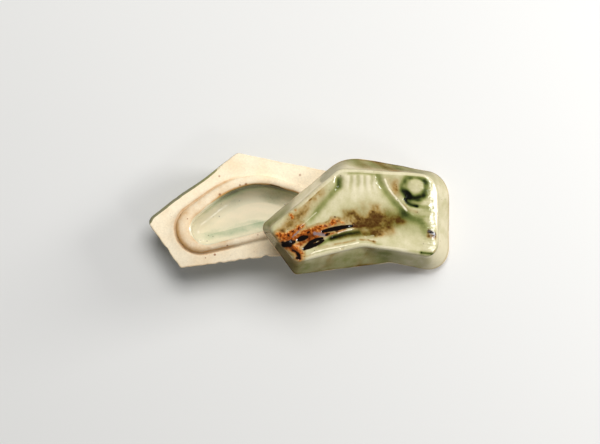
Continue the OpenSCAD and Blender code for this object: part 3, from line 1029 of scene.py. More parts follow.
@dataclass(frozen=True)
class Stoneware:
    """Fired clay with a glaze over part of it, read from the marks on a piece. Scales are to a metre."""

    name: str
    clay: Colour = (250, 235, 205)
    clay_shade: Colour = (244, 222, 186)
    toast: Colour = (206, 155, 88)
    speck: Colour = (150, 84, 32)
    glaze: Stops = (
        (0.0, (210, 201, 170)),
        (0.2, (182, 175, 135)),
        (0.45, (138, 138, 86)),
        (0.65, (94, 101, 50)),
        (0.82, (52, 60, 25)),
        (1.0, (10, 12, 5)),
    )
    tan: Colour = (198, 156, 76)
    brown: Colour = (66, 38, 10)
    rust: Stops = (
        (0.34, (56, 22, 7)),
        (0.42, (134, 64, 16)),
        (0.51, (176, 98, 30)),
        (0.6, (220, 164, 88)),
    )
    lilac: Colour = (116, 106, 110)
    pale: Colour = (240, 230, 200)
    scorch: Colour = (70, 32, 10)
    black: Colour = (13, 8, 6)
    bare_edge: Edge = Edge(700.0, 0.5, 0.42, 0.58)
    toast_edge: Edge = Edge(500.0, 0.45, 0.15, 0.95)
    tan_edge: Edge = Edge(600.0, 0.35, 0.0, 0.85)
    brown_edge: Edge = Edge(900.0, 0.6, 0.55, 1.15)
    rust_edge: Edge = Edge(900.0, 0.6, 0.15, 0.85)
    iron_edge: Edge = Edge(900.0, 0.5, 0.42, 0.66)
    halo_edge: Edge = Edge(1000.0, 0.6, 0.08, 0.5)
    pale_edge: Edge = Edge(900.0, 0.4, 0.25, 0.9)
    lilac_edge: Edge = Edge(1000.0, 0.5, 0.3, 0.8)
    large_specks: Specks = Specks(270.0, 0.8, 0.16)
    small_specks: Specks = Specks(760.0, 0.6, 0.14)
    glaze_specks: Specks = Specks(420.0, 0.6, 0.13)
    dust: Specks = Specks(1100.0, 0.5, 0.3)
    cloud_scale: float = 90.0
    fleck_scale: float = 1500.0
    drift_scale: float = 260.0
    streak_scale: float = 1300.0
    ember_scale: float = 1000.0
    tooth_scale: float = 2600.0
    wave_scale: float = 420.0
    comb_scale: float = 1100.0
    drift_amount: float = 0.16
    streak_amount: float = 0.14
    small_speck_strength: float = 0.4
    tan_strength: float = 0.88
    dust_strength: float = 0.8
    stain_strength: float = 0.85
    glaze_speck_strength: float = 0.5
    clay_rough: float = 0.8
    glaze_rough: float = 0.09
    glaze_ior: float = 1.5
    tooth: float = 0.35
    waviness: float = 0.3
    combing: float = 2.5
    comb_stretch: tuple[float, float, float] = (0.16, 1.0, 0.16)
    bump_strength: float = 0.5
    bump_height: float = 0.25 * MM

    def material(self, effects: Effects) -> bpy.types.Material:
        """Builds the finish.

        Args:
            effects: The shared shader groups.

        Returns:
            The material.
        """
        made = bpy.data.materials.new(self.name)
        made.use_nodes = True
        board = Board(made.node_tree)
        where = board.add("ShaderNodeTexCoord").outputs["Object"]
        bare = effects.ragged(board, Mark.BARE, where, self.bare_edge)
        glaze = self._glaze(board, effects, where)
        colour = board.blend(bare, glaze, self._clay(board, effects, where))
        rough = board.span(bare, 0.0, 1.0, self.glaze_rough, self.clay_rough)
        normal = self._surface(board, bare, where)
        shader = board.add(
            "ShaderNodeBsdfPrincipled",
            {"Base Color": colour, "Roughness": rough, "IOR": self.glaze_ior, "Normal": normal},
        )
        board.add("ShaderNodeOutputMaterial", {"Surface": shader.outputs[0]})
        return made

    def _clay(self, board: Board, effects: Effects, where: Socket) -> Socket:
        """Colour of the bare clay: uneven cream with toasted edges, painted shade where the toast mark
        carries it, and iron specks.
        """
        cloud = board.span(board.grain(where, self.cloud_scale, 3.0), 0.42, 0.78)
        base = board.blend(cloud, srgb(*self.clay), srgb(*self.clay_shade))
        fine = board.span(board.grain(where, self.fleck_scale, 2.0), 0.3, 0.7, 0.93, 1.03)
        base = board.blend(1.0, base, board.grey(fine), "MULTIPLY")
        # The toast mark also carries painted shade at the collar's foot and left end.
        toast = effects.ragged(board, Mark.TAN, where, self.toast_edge)
        base = board.blend(toast, base, srgb(*self.toast))
        large = effects.speckled(board, where, self.large_specks)
        small = effects.speckled(board, where, self.small_specks)
        dots = board.maths("MAXIMUM", large, board.maths("MULTIPLY", small, self.small_speck_strength))
        return board.stain(base, dots, self.stain_strength, self.speck)

    def _glaze(self, board: Board, effects: Effects, where: Socket) -> Socket:
        """Colour of the glaze: cream where thin, green where thick, stained by iron.

        Args:
            board: The material's board.
            effects: The shared shader groups.
            where: Coordinates.

        Returns:
            The colour.
        """
        drift = board.drift(where, self.drift_scale, 4.0, self.drift_amount)
        streak = board.drift(where, self.streak_scale, 3.0, self.streak_amount)
        # The pool mark also carries painted shade at the well's back.
        depth = board.maths("ADD", board.mark(Mark.POOL), board.maths("ADD", drift, streak))
        colour = board.ramp(depth, self.glaze)
        # The tan mark also carries painted shade at the well's back and a painted shadow line on the lid.
        tan = effects.ragged(board, Mark.TAN, where, self.tan_edge)
        colour = board.stain(colour, tan, self.tan_strength, self.tan, "MULTIPLY")
        brown = effects.ragged(board, Mark.TAN, where, self.brown_edge)
        colour = board.blend(brown, colour, srgb(*self.brown))
        rust = effects.ragged(board, Mark.RUST, where, self.rust_edge)
        colour = board.blend(rust, colour, self._ember(board, where))
        stained = board.maths("MAXIMUM", rust, board.maths("MULTIPLY", tan, 0.7))
        dust = board.maths("MULTIPLY", effects.speckled(board, where, self.dust), stained)
        colour = board.stain(colour, dust, self.dust_strength, self.scorch)
        for mark, edge, tint in (
            (Mark.IRON, self.halo_edge, self.scorch),
            (Mark.PALE, self.pale_edge, self.pale),
            (Mark.LILAC, self.lilac_edge, self.lilac),
        ):
            colour = board.stain(colour, effects.ragged(board, mark, where, edge), self.stain_strength, tint)
        iron = effects.ragged(board, Mark.IRON, where, self.iron_edge)
        colour = board.blend(iron, colour, srgb(*self.black))
        dots = effects.speckled(board, where, self.glaze_specks)
        return board.stain(colour, dots, self.glaze_speck_strength, self.brown)

    def _ember(self, board: Board, where: Socket) -> Socket:
        """Colour of the rust: dark grains in orange, paler where the rust fades."""
        fading = board.maths("MULTIPLY", board.maths("SUBTRACT", 0.55, board.mark(Mark.RUST)), 0.16)
        grains = board.grain(where, self.ember_scale, 5.0, 0.8)
        return board.ramp(board.maths("ADD", grains, fading), self.rust)

    def _surface(self, board: Board, bare: Socket, where: Socket) -> Socket:
        """Grain of the clay, and slow waves and combed lines of the glaze, as a normal."""
        tooth = board.maths("MULTIPLY", board.grain(where, self.tooth_scale, 4.0, 0.7), bare)
        wave = board.maths("MULTIPLY", board.grain(where, self.wave_scale, 2.0), self.waviness)
        stretched = board.add("ShaderNodeMapping", {"Vector": where, "Scale": self.comb_stretch}).outputs[0]
        combed = board.maths("MULTIPLY", board.mark(Mark.COMBED), self.combing)
        combed = board.maths("MULTIPLY", board.grain(stretched, self.comb_scale, 2.0), combed)
        tooth = board.maths("MULTIPLY", tooth, self.tooth)
        height = board.maths("ADD", tooth, board.maths("ADD", wave, combed))
        inputs = {"Strength": self.bump_strength, "Distance": self.bump_height, "Height": height}
        return board.add("ShaderNodeBump", inputs).outputs["Normal"]


WELL_GLAZE: Stops = (
    (0.0, (246, 232, 202)),
    (0.25, (232, 224, 194)),
    (0.5, (180, 190, 156)),
    (0.75, (128, 140, 106)),
    (1.0, (70, 78, 48)),
)


@dataclass
class Body:
    """Body of the box: tapered wall, bare face, raised collar and well. Lengths in millimetres."""

    seam: Outline
    spine: Spine
    collar_spine: Spine
    height: float = 13.0
    taper: float = 3.4
    belly: float = 0.25
    foot_round: float = 0.9
    rim_bevel: float = 0.5
    shoulder: float = 0.5
    wave: float = 0.5
    wave_hand: Hand = Hand(13.0, 2.0)
    nick: float = 0.13
    nick_hand: Hand = Hand(2.6, 3.0)
    chip: float = 1.6
    chip_size: float = 3.4
    face_wave: Uneven = Uneven(0.0, ((0.07, 8.0, 1.0),))
    face_tan: Uneven = Uneven(0.0, ((0.25, 9.0, 63.0),))
    well_r: float = 6.2
    collar_r: float = 9.2
    collar_h: float = 2.1
    squareness: float = 0.6
    collar_gap: float = 1.3
    collar_foot: tuple[tuple[float, float, float], ...] = (
        (0.75, 0.05, 0.35), (0.35, 0.16, 0.7), (0.1, 0.34, 0.6),
    )
    collar_wave: float = 0.12
    collar_hand: Hand = Hand(7.0, 4.0)
    toast: Uneven = Uneven(0.37, ((0.15, 5.0, 64.0),))
    # Way out from the collar's left end along which shade is painted on its outer side.
    shaded: tuple[float, float] = (-0.86, -0.51)
    well_depth: float = 8.2
    well_fillet: float = 3.6
    glaze_line: Uneven = Uneven(2.6, ((0.7, 14.0, 61.0),))
    wall_pool: Uneven = Uneven(0.3, ((0.12, 6.0, 62.0),))
    inner_from: float = 100.0
    lining_top: float = 138.0
    lining_skin: float = 0.25
    lining_sunk: float = 0.3
    lining_swell: float = 0.1
    lining_back: tuple[float, ...] = (168.0, 156.0, 144.0, 132.0)
    lining_wander: Uneven = Uneven(0.0, ((0.35, 5.0, 71.0),))
    lining_pool: Uneven = Uneven(0.06, ((0.08, 7.0, 72.0),))
    lining_streaks: Uneven = Uneven(0.0, ((0.1, 1.6, 73.0),))
    lining_band: Uneven = Uneven(1.0, ((0.5, 4.0, 74.0),))
    bowl: float = 4.6
    pool_lift: float = 1.3
    pool_dip: float = 0.25
    foot_loops: int = 4
    wall_loops: int = 14
    rim_loops: int = 6
    face_loops: int = 14
    collar_loops: int = 24
    well_loops: int = 4
    fillet_loops: int = 8
    edge_loops: int = 16
    side_loops: int = 5
    bowl_loops: int = 18
    pool_loops: int = 10

    @property
    def floor(self) -> float:
        """Height of the clay floor of the well."""
        return self.height - self.well_depth

    def _collar(self, angle: float, lift: float = 0.0) -> Ring:
        """One loop of the collar.

        Args:
            angle: From 0 at its outer foot to 180 at its inner edge.
            lift: How far above the clay.

        Returns:
            The loop.
        """
        turn = math.radians(angle)
        rise = self.collar_h * math.sin(turn) ** self.squareness if 0 < angle < 180 else 0.0
        height = self.height + rise + lift * math.sin(turn)
        away = lift * math.cos(turn)
        outer = self.collar_spine.ring(self.collar_r + away, height)
        return between(outer, self.spine.ring(self.well_r + away, height), (1 - math.cos(turn)) / 2)

    def _cut(self, inset: float, height: float) -> Ring:
        """One loop of the wall, cut by hand and chipped along the front.

        Args:
            inset: How far the loop lies inside the seam.
            height: Height of the loop.

        Returns:
            The loop.
        """
        amount = ease(0.5, 4.0, height)
        ring = self.wave_hand.move(self.seam.ring(inset, height), self.wave * amount)
        ring = self.nick_hand.move(ring, self.nick * amount)
        for p in ring:
            chips = max(ripple(p.x, 0.0, self.chip_size, 6.0), 0.0)
            p.y += self.chip * amount * ease(-12.0, -15.0, p.y) * chips
        return ring

    def _outside(self, form: Form) -> None:
        """Adds the base, the foot's edge, the wall and the worn rim."""
        base = self._cut(self.taper + self.foot_round, 0.0)
        for share in (0.5, 0.8, 1.0):
            form.add(Zone.BASE, between([Vector()] * len(base), base, share))
        for sine, cosine in quarter(self.foot_loops):
            inset = self.taper + self.foot_round * (1 - sine)
            form.add(Zone.WALL, self._cut(inset, self.foot_round * (1 - cosine)))
        low, high = self.foot_round, self.height - self.rim_bevel
        for share in shares(self.wall_loops):
            inset = self.taper * (1 - share) - self.belly * math.sin(math.pi * share)
            form.add(Zone.WALL, self._cut(inset, low + (high - low) * share))
        inward = self._inward() * self.shoulder
        for share, (sine, cosine) in zip(shares(self.rim_loops), quarter(self.rim_loops)):
            ring = self._cut(self.rim_bevel * (1 - cosine), high + self.rim_bevel * sine)
            form.add(Zone.RIM, [p + inward * self._behind(p) * share for p in ring])

    def _inward(self) -> Vector:
        """Way in from the back left edge."""
        nose, top = Vector(self.seam.corners[0]), Vector(self.seam.corners[-1])
        along = (nose - top).normalized()
        return Vector((-along.y, along.x, 0.0))

    def _behind(self, point: Vector) -> float:
        """One on the back left edge of the rim, nought away from it."""
        gap, along, _ = near(point.x, point.y, (self.seam.corners[0], self.seam.corners[-1]))
        return (1 - ease(1.2, 3.2, gap)) * (1 - 0.65 * ease(0.45, 0.95, along))

    @staticmethod
    def _leftward(point: Vector) -> float:
        """One at the collar's left end, nought from its middle on."""
        return ease(4.0, -8.0, point.x)

    def _face(self, form: Form) -> None:
        """Adds the flat face from the rim to the collar, and the groove at the collar's foot."""
        rim = form.loops[-1]
        foot = self.collar_spine.ring(self.collar_r + self.collar_gap, self.height)
        for share in shares(self.face_loops):
            ring = between(rim, foot, share)
            form.add(Zone.FACE, [raised(p, self.face_wave.at(p.x, p.y)) for p in ring])
        for out, rise, dip in self.collar_foot:
            ring = self.collar_spine.ring(self.collar_r + out, self.height + rise)
            form.add(Zone.FOOT, [raised(p, -dip * self._leftward(p)) for p in ring])

    def clay(self) -> Form:
        """Loops of the clay body, from the base round to the floor of the well."""
        form = Form(start=Vector())
        self._outside(form)
        self._face(form)
        for share in shares(self.collar_loops):
            angle = 180 * share
            zone = Zone.COLLAR if angle < self.inner_from else Zone.INNER
            form.add(zone, self.collar_hand.move(self._collar(angle), self.collar_wave))
        top = self.floor + self.well_fillet
        for share in shares(self.well_loops):
            form.add(Zone.WELL, self.spine.ring(self.well_r, self.height + (top - self.height) * share))
        for sine, cosine in quarter(self.fillet_loops):
            radius = self.well_r - self.well_fillet * (1 - cosine)
            form.add(Zone.WELL, self.spine.ring(radius, self.floor + self.well_fillet * (1 - sine)))
        form.end = Vector((*self.spine.middle, self.floor))
        form.close_in(Zone.WELL, 2)
        return form

    def marks(self, point: Vector, zone: Zone) -> Marks:
        """Marks of the body: glaze on the wall above the foot, bare clay elsewhere."""
        if zone in (Zone.COLLAR, Zone.INNER):
            return {Mark.BARE: 1.0, Mark.TAN: self._toast_and_shade(point, zone)}
        # Painted shade: the groove at the collar's foot is darkened towards the left end, over a light even
        # toast.
        if zone is Zone.FOOT:
            return {Mark.BARE: 1.0, Mark.TAN: 0.14 + 0.42 * self._leftward(point)}
        if zone is Zone.FACE:
            return {Mark.BARE: 1.0, Mark.TAN: self.face_tan.at(point.x, point.y)}
        if zone in (Zone.WELL, Zone.BASE):
            return {Mark.BARE: 1.0}
        if zone is Zone.RIM:
            behind = self._behind(point)
            bare = ease(0.0, 0.3, point.z - self.height + self.rim_bevel) * (1 - behind)
            tan, grey = 0.35 * (1 - behind), 0.55 * behind
            return {Mark.BARE: bare, Mark.POOL: 0.34 + 0.1 * behind, Mark.TAN: tan, Mark.LILAC: grey}
        line = self.glaze_line.at(point.x, point.y)
        bare = 1 - ease(line - 0.5, line + 0.5, point.z)
        pool = self.wall_pool.at(point.x, point.z) + 0.25 * bell(point.z - line - 1.4, 1.6)
        tan = 0.3 * bell(point.z - line, 0.7)
        return {Mark.BARE: bare, Mark.POOL: pool, Mark.TAN: tan}

    def _toast_and_shade(self, point: Vector, zone: Zone) -> float:
        """How far the collar is toasted at a point, with painted shade on its outer slope at the left end.

        Args:
            point: A point on the collar.
            zone: Its outer or its inner side.

        Returns:
            A value from nought to one.
        """
        x, y, z = point
        back = ease(-2.0, 8.0, y)
        toast = self.toast.at(x, y) + 0.1 * ease(0.0, -12.0, x) - 0.05 * back
        if zone is Zone.INNER:
            return toast + (0.08 + 0.6 * back) * ease(self.height + 2.0, self.height + 1.3, z)
        # Painted shade: the low outer slope at the collar's left end is darkened with the toast colour.
        toast += 0.34 * ease(self.height + 1.7, self.height + 0.4, z) * ease(4.0, -6.0, x)
        # Painted shade: a wider band round the left end's outer side, turned the shaded way, darkened the
        # same way.
        away = Vector((x, y)) - Vector(self.collar_spine.left)
        end = max(away.normalized().dot(Vector(self.shaded)), 0.0)
        return toast + 0.3 * ease(7.3, 8.7, away.length) * end

    def lining(self) -> Form:
        """Loops of the glaze in the well: up behind it, over its edge and down to the pool."""
        skin = self.lining_skin
        form = Form(start=Vector((*self.spine.middle, self.floor - self.lining_sunk)))
        for radius, height in (
            (2.2, self.floor - self.lining_sunk),
            (self.well_r - 0.6, self.floor + 0.9),
            (self.well_r + skin, self.floor + self.well_fillet),
            (self.well_r + skin, self.height),
        ):
            form.add(Zone.BEHIND, self.spine.ring(radius, height))
        for angle in self.lining_back:
            form.add(Zone.BEHIND, self._collar(angle, -skin))
        for share in [0.0] + shares(self.edge_loops):
            angle = self.lining_top + (180.0 - self.lining_top) * share
            lift = -0.05 + 0.15 * ease(0.0, 0.7, share)
            form.add(Zone.EDGE, self._wander(self._collar(angle, lift), share))
        self._pool(form)
        return form

    def _pool(self, form: Form) -> None:
        """Adds the lining's side, its bowl and the face of the pool."""
        low, radius = self.floor + self.pool_lift, self.well_r - self.lining_skin
        for share in shares(self.side_loops):
            height = self.height + (low + self.bowl - self.height) * share
            form.add(Zone.SIDE, self.spine.ring(radius - self.lining_swell * share, height))
        for sine, cosine in quarter(self.bowl_loops):
            inset = self.lining_swell + self.bowl * (1 - cosine)
            form.add(Zone.SIDE, self.spine.ring(radius - inset, low + self.bowl * (1 - sine)))
        form.end = Vector((*self.spine.middle, low - self.pool_dip))
        form.close_in(Zone.FLOOR, self.pool_loops)

    def _wander(self, ring: Ring, share: float) -> Ring:
        """Lets the glaze's upper edge wander a little over the collar."""
        middle = self.spine.middle
        moved: Ring = []
        for p in ring:
            away = (1 - share) * self.lining_wander.at(p.x, p.y)
            out = (Vector((p.x, p.y)) - middle).normalized()
            moved.append(Vector((p.x + out.x * away, p.y + out.y * away, p.z)))
        return moved

    def lining_marks(self, point: Vector, zone: Zone) -> Marks:
        """Marks of the lining: pale at its edge, greener where it runs down the side, darker at the back with
        painted shade.
        """
        x, y, z = point
        out = (Vector((x, y)) - self.spine.middle).normalized()
        pool = self.lining_pool.at(x, y) + self.lining_streaks.at(x / 4, y)
        gap, _, side = near(x, y, (self.spine.left, self.spine.right))
        front = gap if side < 0 else -gap
        band = bell(front - 1.3, 2.6) * ease(self.floor + 6.0, self.floor + 3.6, z) * ease(-26.0, -12.0, x)
        pool += 0.24 * band * self.lining_band.at(x, y)
        back = ease(0.0, 0.8, out.y)
        # Along the back just under the collar's edge the glaze is thicker and stained, and darker still as
        # painted shade.
        back_pool_and_shade = back * bell(z - self.height, 2.6)
        stain = 0.35 * back_pool_and_shade
        if zone is not Zone.FLOOR:
            # Painted shadow of the leaning lid: the back right of the well is made greener and browner.
            right = back * ease(2.0, 12.0, x)
            pool += 0.16 - 0.06 * max(-out.x, 0.0) + 0.5 * back_pool_and_shade + 0.16 * right
            pool += 0.45 * max(out.dot(Vector((-0.6, 0.8))), 0.0) ** 2 * bell(z - 10.8, 2.4)
            stain += 0.3 * right
        if zone is Zone.EDGE:
            stain += 0.4 * back * ease(self.height + 0.2, self.height + 1.2, z)
        return {Mark.POOL: pool, Mark.TAN: stain}


@dataclass
class Lid:
    """Lid of the box: hollow underside, wall, rounded ridge and carved field. Lengths in millimetres."""

    rim: Outline
    seam: Outline
    ridge: Outline
    spine: Spine
    picture: Picture
    height: float = 11.0
    field_drop: float = 0.8
    field_middle: tuple[float, float] = (0.0, 2.0)
    ridge_round: float = 1.2
    ridge_carving: float = 0.7
    crown_at: float = 1.3
    crown_width: float = 7.0
    right_slope: tuple[float, float] = (14.0, 25.0)
    roll_from: float = 22.2
    roll_span: float = 9.42
    roll_drop: float = 1.6
    rim_bevel: float = 0.7
    hollow_r: float = 9.9
    hollow_depth: float = 6.0
    hollow_fillet: float = 3.0
    mouth_bevel: float = 0.5
    mouth_wall: float = 1.6
    hand: Hand = Hand(9.0, 2.0)
    seam_wave: float = 0.22
    top_wave: float = 0.32
    hollow_pool: Uneven = Uneven(0.25, ((0.1, 6.0, 81.0),))
    glaze_line: Uneven = Uneven(0.75, ((0.35, 8.0, 82.0),))
    wall_pool: Uneven = Uneven(0.44, ((0.16, 7.0, 83.0),))
    wall_runs: Uneven = Uneven(0.0, ((0.12, 3.0, 85.0),))
    back_stain: Uneven = Uneven(0.9, ((1.0, 4.0, 84.0),))
    front_stain: Uneven = Uneven(0.7, ((1.0, 3.0, 86.0),))
    hollow_loops: int = 10
    bevel_loops: int = 4
    wall_loops: int = 18
    round_loops: int = 8
    crown_loops: int = 20
    field_loops: int = 90
    body_height: float = 13.0
    at: tuple[float, float] = (42.3, -1.6)
    yaw: float = 3.8
    lean_gap: float = 0.3
    lean_cos: float = 0.95
    floor_gap: float = 0.1

    def place(self) -> Matrix:
        """Where the lid leans: its own frame in the frame of the whole box, in metres."""
        turn = math.radians(self.yaw)
        reach = max(p.x for p in self.seam.ring(0.0, 0.0))
        rim = [Vector((p.x - self.at[0], p.y - self.at[1])) for p in self.rim.ring(0.0, 0.0)]
        over = max(p.x * math.cos(turn) + p.y * math.sin(turn) for p in rim)
        lean = math.asin((self.body_height + self.lean_gap) / (reach - over / self.lean_cos))
        stand = Vector((*self.at, self.floor_gap + reach * math.sin(lean))) * MM
        return Matrix.Translation(stand) @ Matrix.Rotation(turn, 4, "Z") @ Matrix.Rotation(lean, 4, "Y")

    def _carved(self, ring: Ring, weight: float) -> Ring:
        """Carves the picture into a loop of the top.

        Args:
            ring: The loop before carving.
            weight: Share of the carving's full depth.

        Returns:
            The carved loop.
        """
        return [raised(p, weight * self.picture.relief(p.x, p.y)) for p in ring]

    def _underside(self, form: Form) -> None:
        """Adds the hollow, its mouth and the bare seam."""
        for sine, cosine in quarter(self.hollow_loops, first=0):
            radius = self.hollow_r - self.hollow_fillet * (1 - sine)
            height = self.hollow_depth - self.hollow_fillet * (1 - cosine)
            form.add(Zone.HOLLOW, self.spine.ring(radius, height))
        for height in (self.mouth_wall, self.mouth_bevel):
            form.add(Zone.HOLLOW, self.spine.ring(self.hollow_r, height))
        mouth = self.spine.ring(self.hollow_r + self.mouth_bevel, 0.0)
        edge = self.hand.move(self.seam.ring(self.rim_bevel, 0.0), self.seam_wave)
        form.add(Zone.SEAM, mouth, between(mouth, edge, 0.35), between(mouth, edge, 0.7), edge)

    def _wall(self, form: Form) -> None:
        """Adds the outer wall from the seam to the ridge."""
        for sine, cosine in quarter(self.bevel_loops):
            ring = self.seam.ring(self.rim_bevel * (1 - sine), self.rim_bevel * (1 - cosine))
            form.add(Zone.WALL, self.hand.move(ring, self.seam_wave))
        low = self.seam.ring(0.0, self.rim_bevel)
        high = self._rolled(self.ridge.ring(0.0, self.height - self.ridge_round), 0.0)
        for share in shares(self.wall_loops):
            wave = self.seam_wave + (self.top_wave - self.seam_wave) * share
            form.add(Zone.WALL, self.hand.move(between(low, high, share), wave))

    def _rolled(self, ring: Ring, fall: float) -> Ring:
        """Lowers a loop of the top towards the field, and rolls its right side over.

        Args:
            ring: Loop at the height of the ridge.
            fall: Share of the way from the ridge down to the field.

        Returns:
            The lowered loop.
        """
        lowered: Ring = []
        for p in ring:
            right = ease(*self.right_slope, p.x)
            drop = self.field_drop * max(ease(0.0, 1.0, fall), right)
            roll = self.roll_drop * (max(p.x - self.roll_from, 0.0) / self.roll_span) ** 2
            lowered.append(raised(p, -drop - roll))
        return lowered

    def _top(self, form: Form) -> None:
        """Adds the rounded ridge and the carved field."""
        base, weight = self.height - self.ridge_round, self.ridge_carving
        for share, (sine, cosine) in zip(shares(self.round_loops), quarter(self.round_loops)):
            ring = self.ridge.ring(self.crown_at * (1 - cosine), base + self.ridge_round * sine)
            ring = self._carved(self._rolled(ring, 0.0), weight * share ** 2)
            form.add(Zone.RIDGE, self.hand.move(ring, self.top_wave))
        for share in shares(self.crown_loops):
            inset = self.crown_at + (self.crown_width - self.crown_at) * share
            ring = self._rolled(self.ridge.ring(inset, self.height), share)
            ring = self._carved(ring, weight + (1 - weight) * ease(0.0, 0.4, share))
            form.add(Zone.FIELD, self.hand.move(ring, self.top_wave * (1 - share)))
        edge = self.ridge.ring(self.crown_width, self.height)
        middle = Vector((*self.field_middle, self.height))
        for share in shares(self.field_loops)[:-1]:
            ring = self._rolled(between(edge, [middle] * len(edge), share), 1.0)
            form.add(Zone.FIELD, self._carved(ring, 1.0))
        form.end = raised(middle, self.picture.relief(*self.field_middle) - self.field_drop)

    def shape(self) -> Form:
        """Loops of the lid, from the hollow's roof round to the middle of the picture."""
        form = Form(start=Vector((*self.spine.middle, self.hollow_depth)))
        self._underside(form)
        self._wall(form)
        self._top(form)
        return form

    def marks(self, point: Vector, zone: Zone) -> Marks:
        """Marks of the lid: bare seam, glaze pooled down the wall, stains of the picture on top."""
        x, y, z = point
        if zone is Zone.SEAM:
            return {Mark.BARE: 1.0}
        if zone is Zone.HOLLOW:
            return {Mark.POOL: self.hollow_pool.at(x, y), Mark.BARE: 1 - ease(0.5, 1.3, z)}
        if zone is Zone.WALL:
            return self._wall_marks(x, y, z)
        whole = max(ease(-22.0, -28.0, x), ease(14.0, 20.0, x) * ease(-10.0, -13.0, y))
        share = 0.35 + 0.65 * whole if zone is Zone.RIDGE else 1.0
        picture = self.picture
        return {
            Mark.POOL: picture.pool(x, y) * share,
            Mark.TAN: picture.tan(x, y) * share,
            Mark.RUST: picture.rust(x, y) * share,
            Mark.IRON: picture.iron(x, y) * share,
            Mark.LILAC: picture.lilac(x, y) * share,
            Mark.PALE: picture.pale(x, y),
            Mark.COMBED: ease(20.0, 24.0, x) * ease(28.4, 26.8, x),
        }

    def _wall_marks(self, x: float, y: float, z: float) -> Marks:
        """Marks of the wall: bare under the glaze line, thin at its upper edge, stained in places."""
        line = self.glaze_line.at(x, y)
        back = ease(9.0, 14.0, y) * ease(-12.0, -5.0, x) * ease(27.0, 18.0, x)
        front = ease(-6.0, -12.0, y)
        nose = ease(-22.0, -29.0, x) * ease(0.0, -8.0, y)
        behind = ease(2.0, -6.0, x) * ease(-4.0, 4.0, y)
        pool = self.wall_pool.at(x, y) + self.wall_runs.at(x, y + z)
        pool += 0.16 * front * bell(x - 7.5, 3.0) + 0.2 * back * bell(x + 2.0, 5.0)
        pool -= 0.36 * ease(20.0, 32.0, x) + 0.36 * behind + 0.2 * ease(7.0, 10.0, z)
        pool -= front * (0.06 + 0.18 * ease(10.0, 20.0, x)) + back * (0.12 + 0.22 * ease(5.0, 9.0, z))
        stain = 0.08 + 0.5 * nose + 0.3 * bell(z - line - 0.3, 0.6)
        stain += back * (0.12 + 0.32 * bell(x - 12.0, 9.0)) * self.back_stain.at(x, y)
        stain += 0.45 * front * (bell(x + 15.0, 4.0) + bell(x - 1.0, 4.0)) * self.front_stain.at(x, z)
        return {Mark.BARE: 1 - ease(line - 0.3, line + 0.35, z), Mark.POOL: pool, Mark.TAN: stain}


@dataclass(frozen=True)
class Lamp:
    """Soft lamp: where it hangs from the target and how large it is, in metres, and its power in watts."""

    name: str
    offset: tuple[float, float, float]
    size: tuple[float, float]
    power: float
    shines: bool = True

    def hang(self, aim: Vector) -> None:
        """Hangs the lamp so that it looks at a point."""
        light = bpy.data.lights.new(self.name, "AREA")
        light.shape = "RECTANGLE"
        light.size, light.size_y = self.size
        light.energy = self.power
        holder = bpy.data.objects.new(self.name, light)
        holder.visible_glossy = self.shines
        holder.location = aim + Vector(self.offset)
        holder.rotation_euler = Vector(self.offset).to_track_quat("Z", "Y").to_euler()
        bpy.context.scene.collection.objects.link(holder)


@dataclass(frozen=True)
class Studio:
    """Floor, lamps and camera. Lengths in metres."""

    target: tuple[float, float, float] = (0.02133, -0.00342, 0.013)
    elevation: float = 80.0
    distance: float = 0.9
    view_width: float = 0.22458
    sensor_mm: float = 36.0
    clip_start: float = 0.01
    floor: Colour = (226, 225, 222)
    floor_mottle: int = 4
    floor_size: float = 6.0
    floor_gap: float = 0.0002
    lamps: tuple[Lamp, ...] = (
        Lamp("right_softbox", (0.63, 0.145, 0.245), (0.22, 0.2), 3.2),
        Lamp("front_light", (0.4, -0.41, 0.44), (0.16, 0.1), 0.4),
        Lamp("overhead", (0.1, 0.36, 0.8), (0.7, 0.5), 6.9, shines=False),
    )
    world: tuple[float, float, float, float] = (0.95, 0.97, 1.0, 1.0)
    world_strength: float = 0.2
    world_shine: float = 0.06

    def build(self) -> None:
        """Sets the floor, the lamps, the world and the camera."""
        self._floor()
        self._lamps()
        self._camera()

    def _floor(self) -> None:
        """Lays a plain pale floor just under the box."""
        bpy.ops.object.select_all(action="DESELECT")
        bpy.ops.mesh.primitive_plane_add(size=self.floor_size, location=(0.0, 0.0, -self.floor_gap))
        floor = bpy.context.object
        floor.name = "floor"
        floor.visible_glossy = False
        made = bpy.data.materials.new("pale_floor")
        made.use_nodes = True
        board = Board(made.node_tree)
        where = board.add("ShaderNodeTexCoord").outputs["Object"]
        darker = srgb(*(value - self.floor_mottle for value in self.floor))
        tone = board.blend(board.grain(where, 3.0, 2.0), srgb(*self.floor), darker)
        shader = board.add("ShaderNodeBsdfPrincipled", {"Base Color": tone, "Roughness": 0.6})
        board.add("ShaderNodeOutputMaterial", {"Surface": shader.outputs[0]})
        floor.data.materials.append(made)

    def _lamps(self) -> None:
        """Hangs the soft lamps and sets an even world."""
        for lamp in self.lamps:
            lamp.hang(Vector(self.target))
        world = bpy.data.worlds.new("even_light")
        bpy.context.scene.world = world
        world.use_nodes = True
        board = Board(world.node_tree)
        shine = board.add("ShaderNodeLightPath").outputs["Is Glossy Ray"]
        strength = board.span(shine, 0.0, 1.0, self.world_strength, self.world_shine)
        sky = board.add("ShaderNodeBackground", {"Color": self.world, "Strength": strength})
        board.add("ShaderNodeOutputWorld", {"Surface": sky.outputs[0]})

    def _camera(self) -> None:
        """Stands the camera in front of the box, looking down on it."""
        lens = bpy.data.cameras.new("camera")
        lens.sensor_width = self.sensor_mm
        lens.lens = lens.sensor_width * self.distance / self.view_width
        lens.clip_start = self.clip_start
        camera = bpy.data.objects.new("camera", lens)
        tilt = math.radians(self.elevation)
        back = Vector((0.0, -math.cos(tilt), math.sin(tilt)))
        camera.location = Vector(self.target) + back * self.distance
        camera.rotation_euler = back.to_track_quat("Z", "Y").to_euler()
        bpy.context.scene.collection.objects.link(camera)
        bpy.context.scene.camera = camera


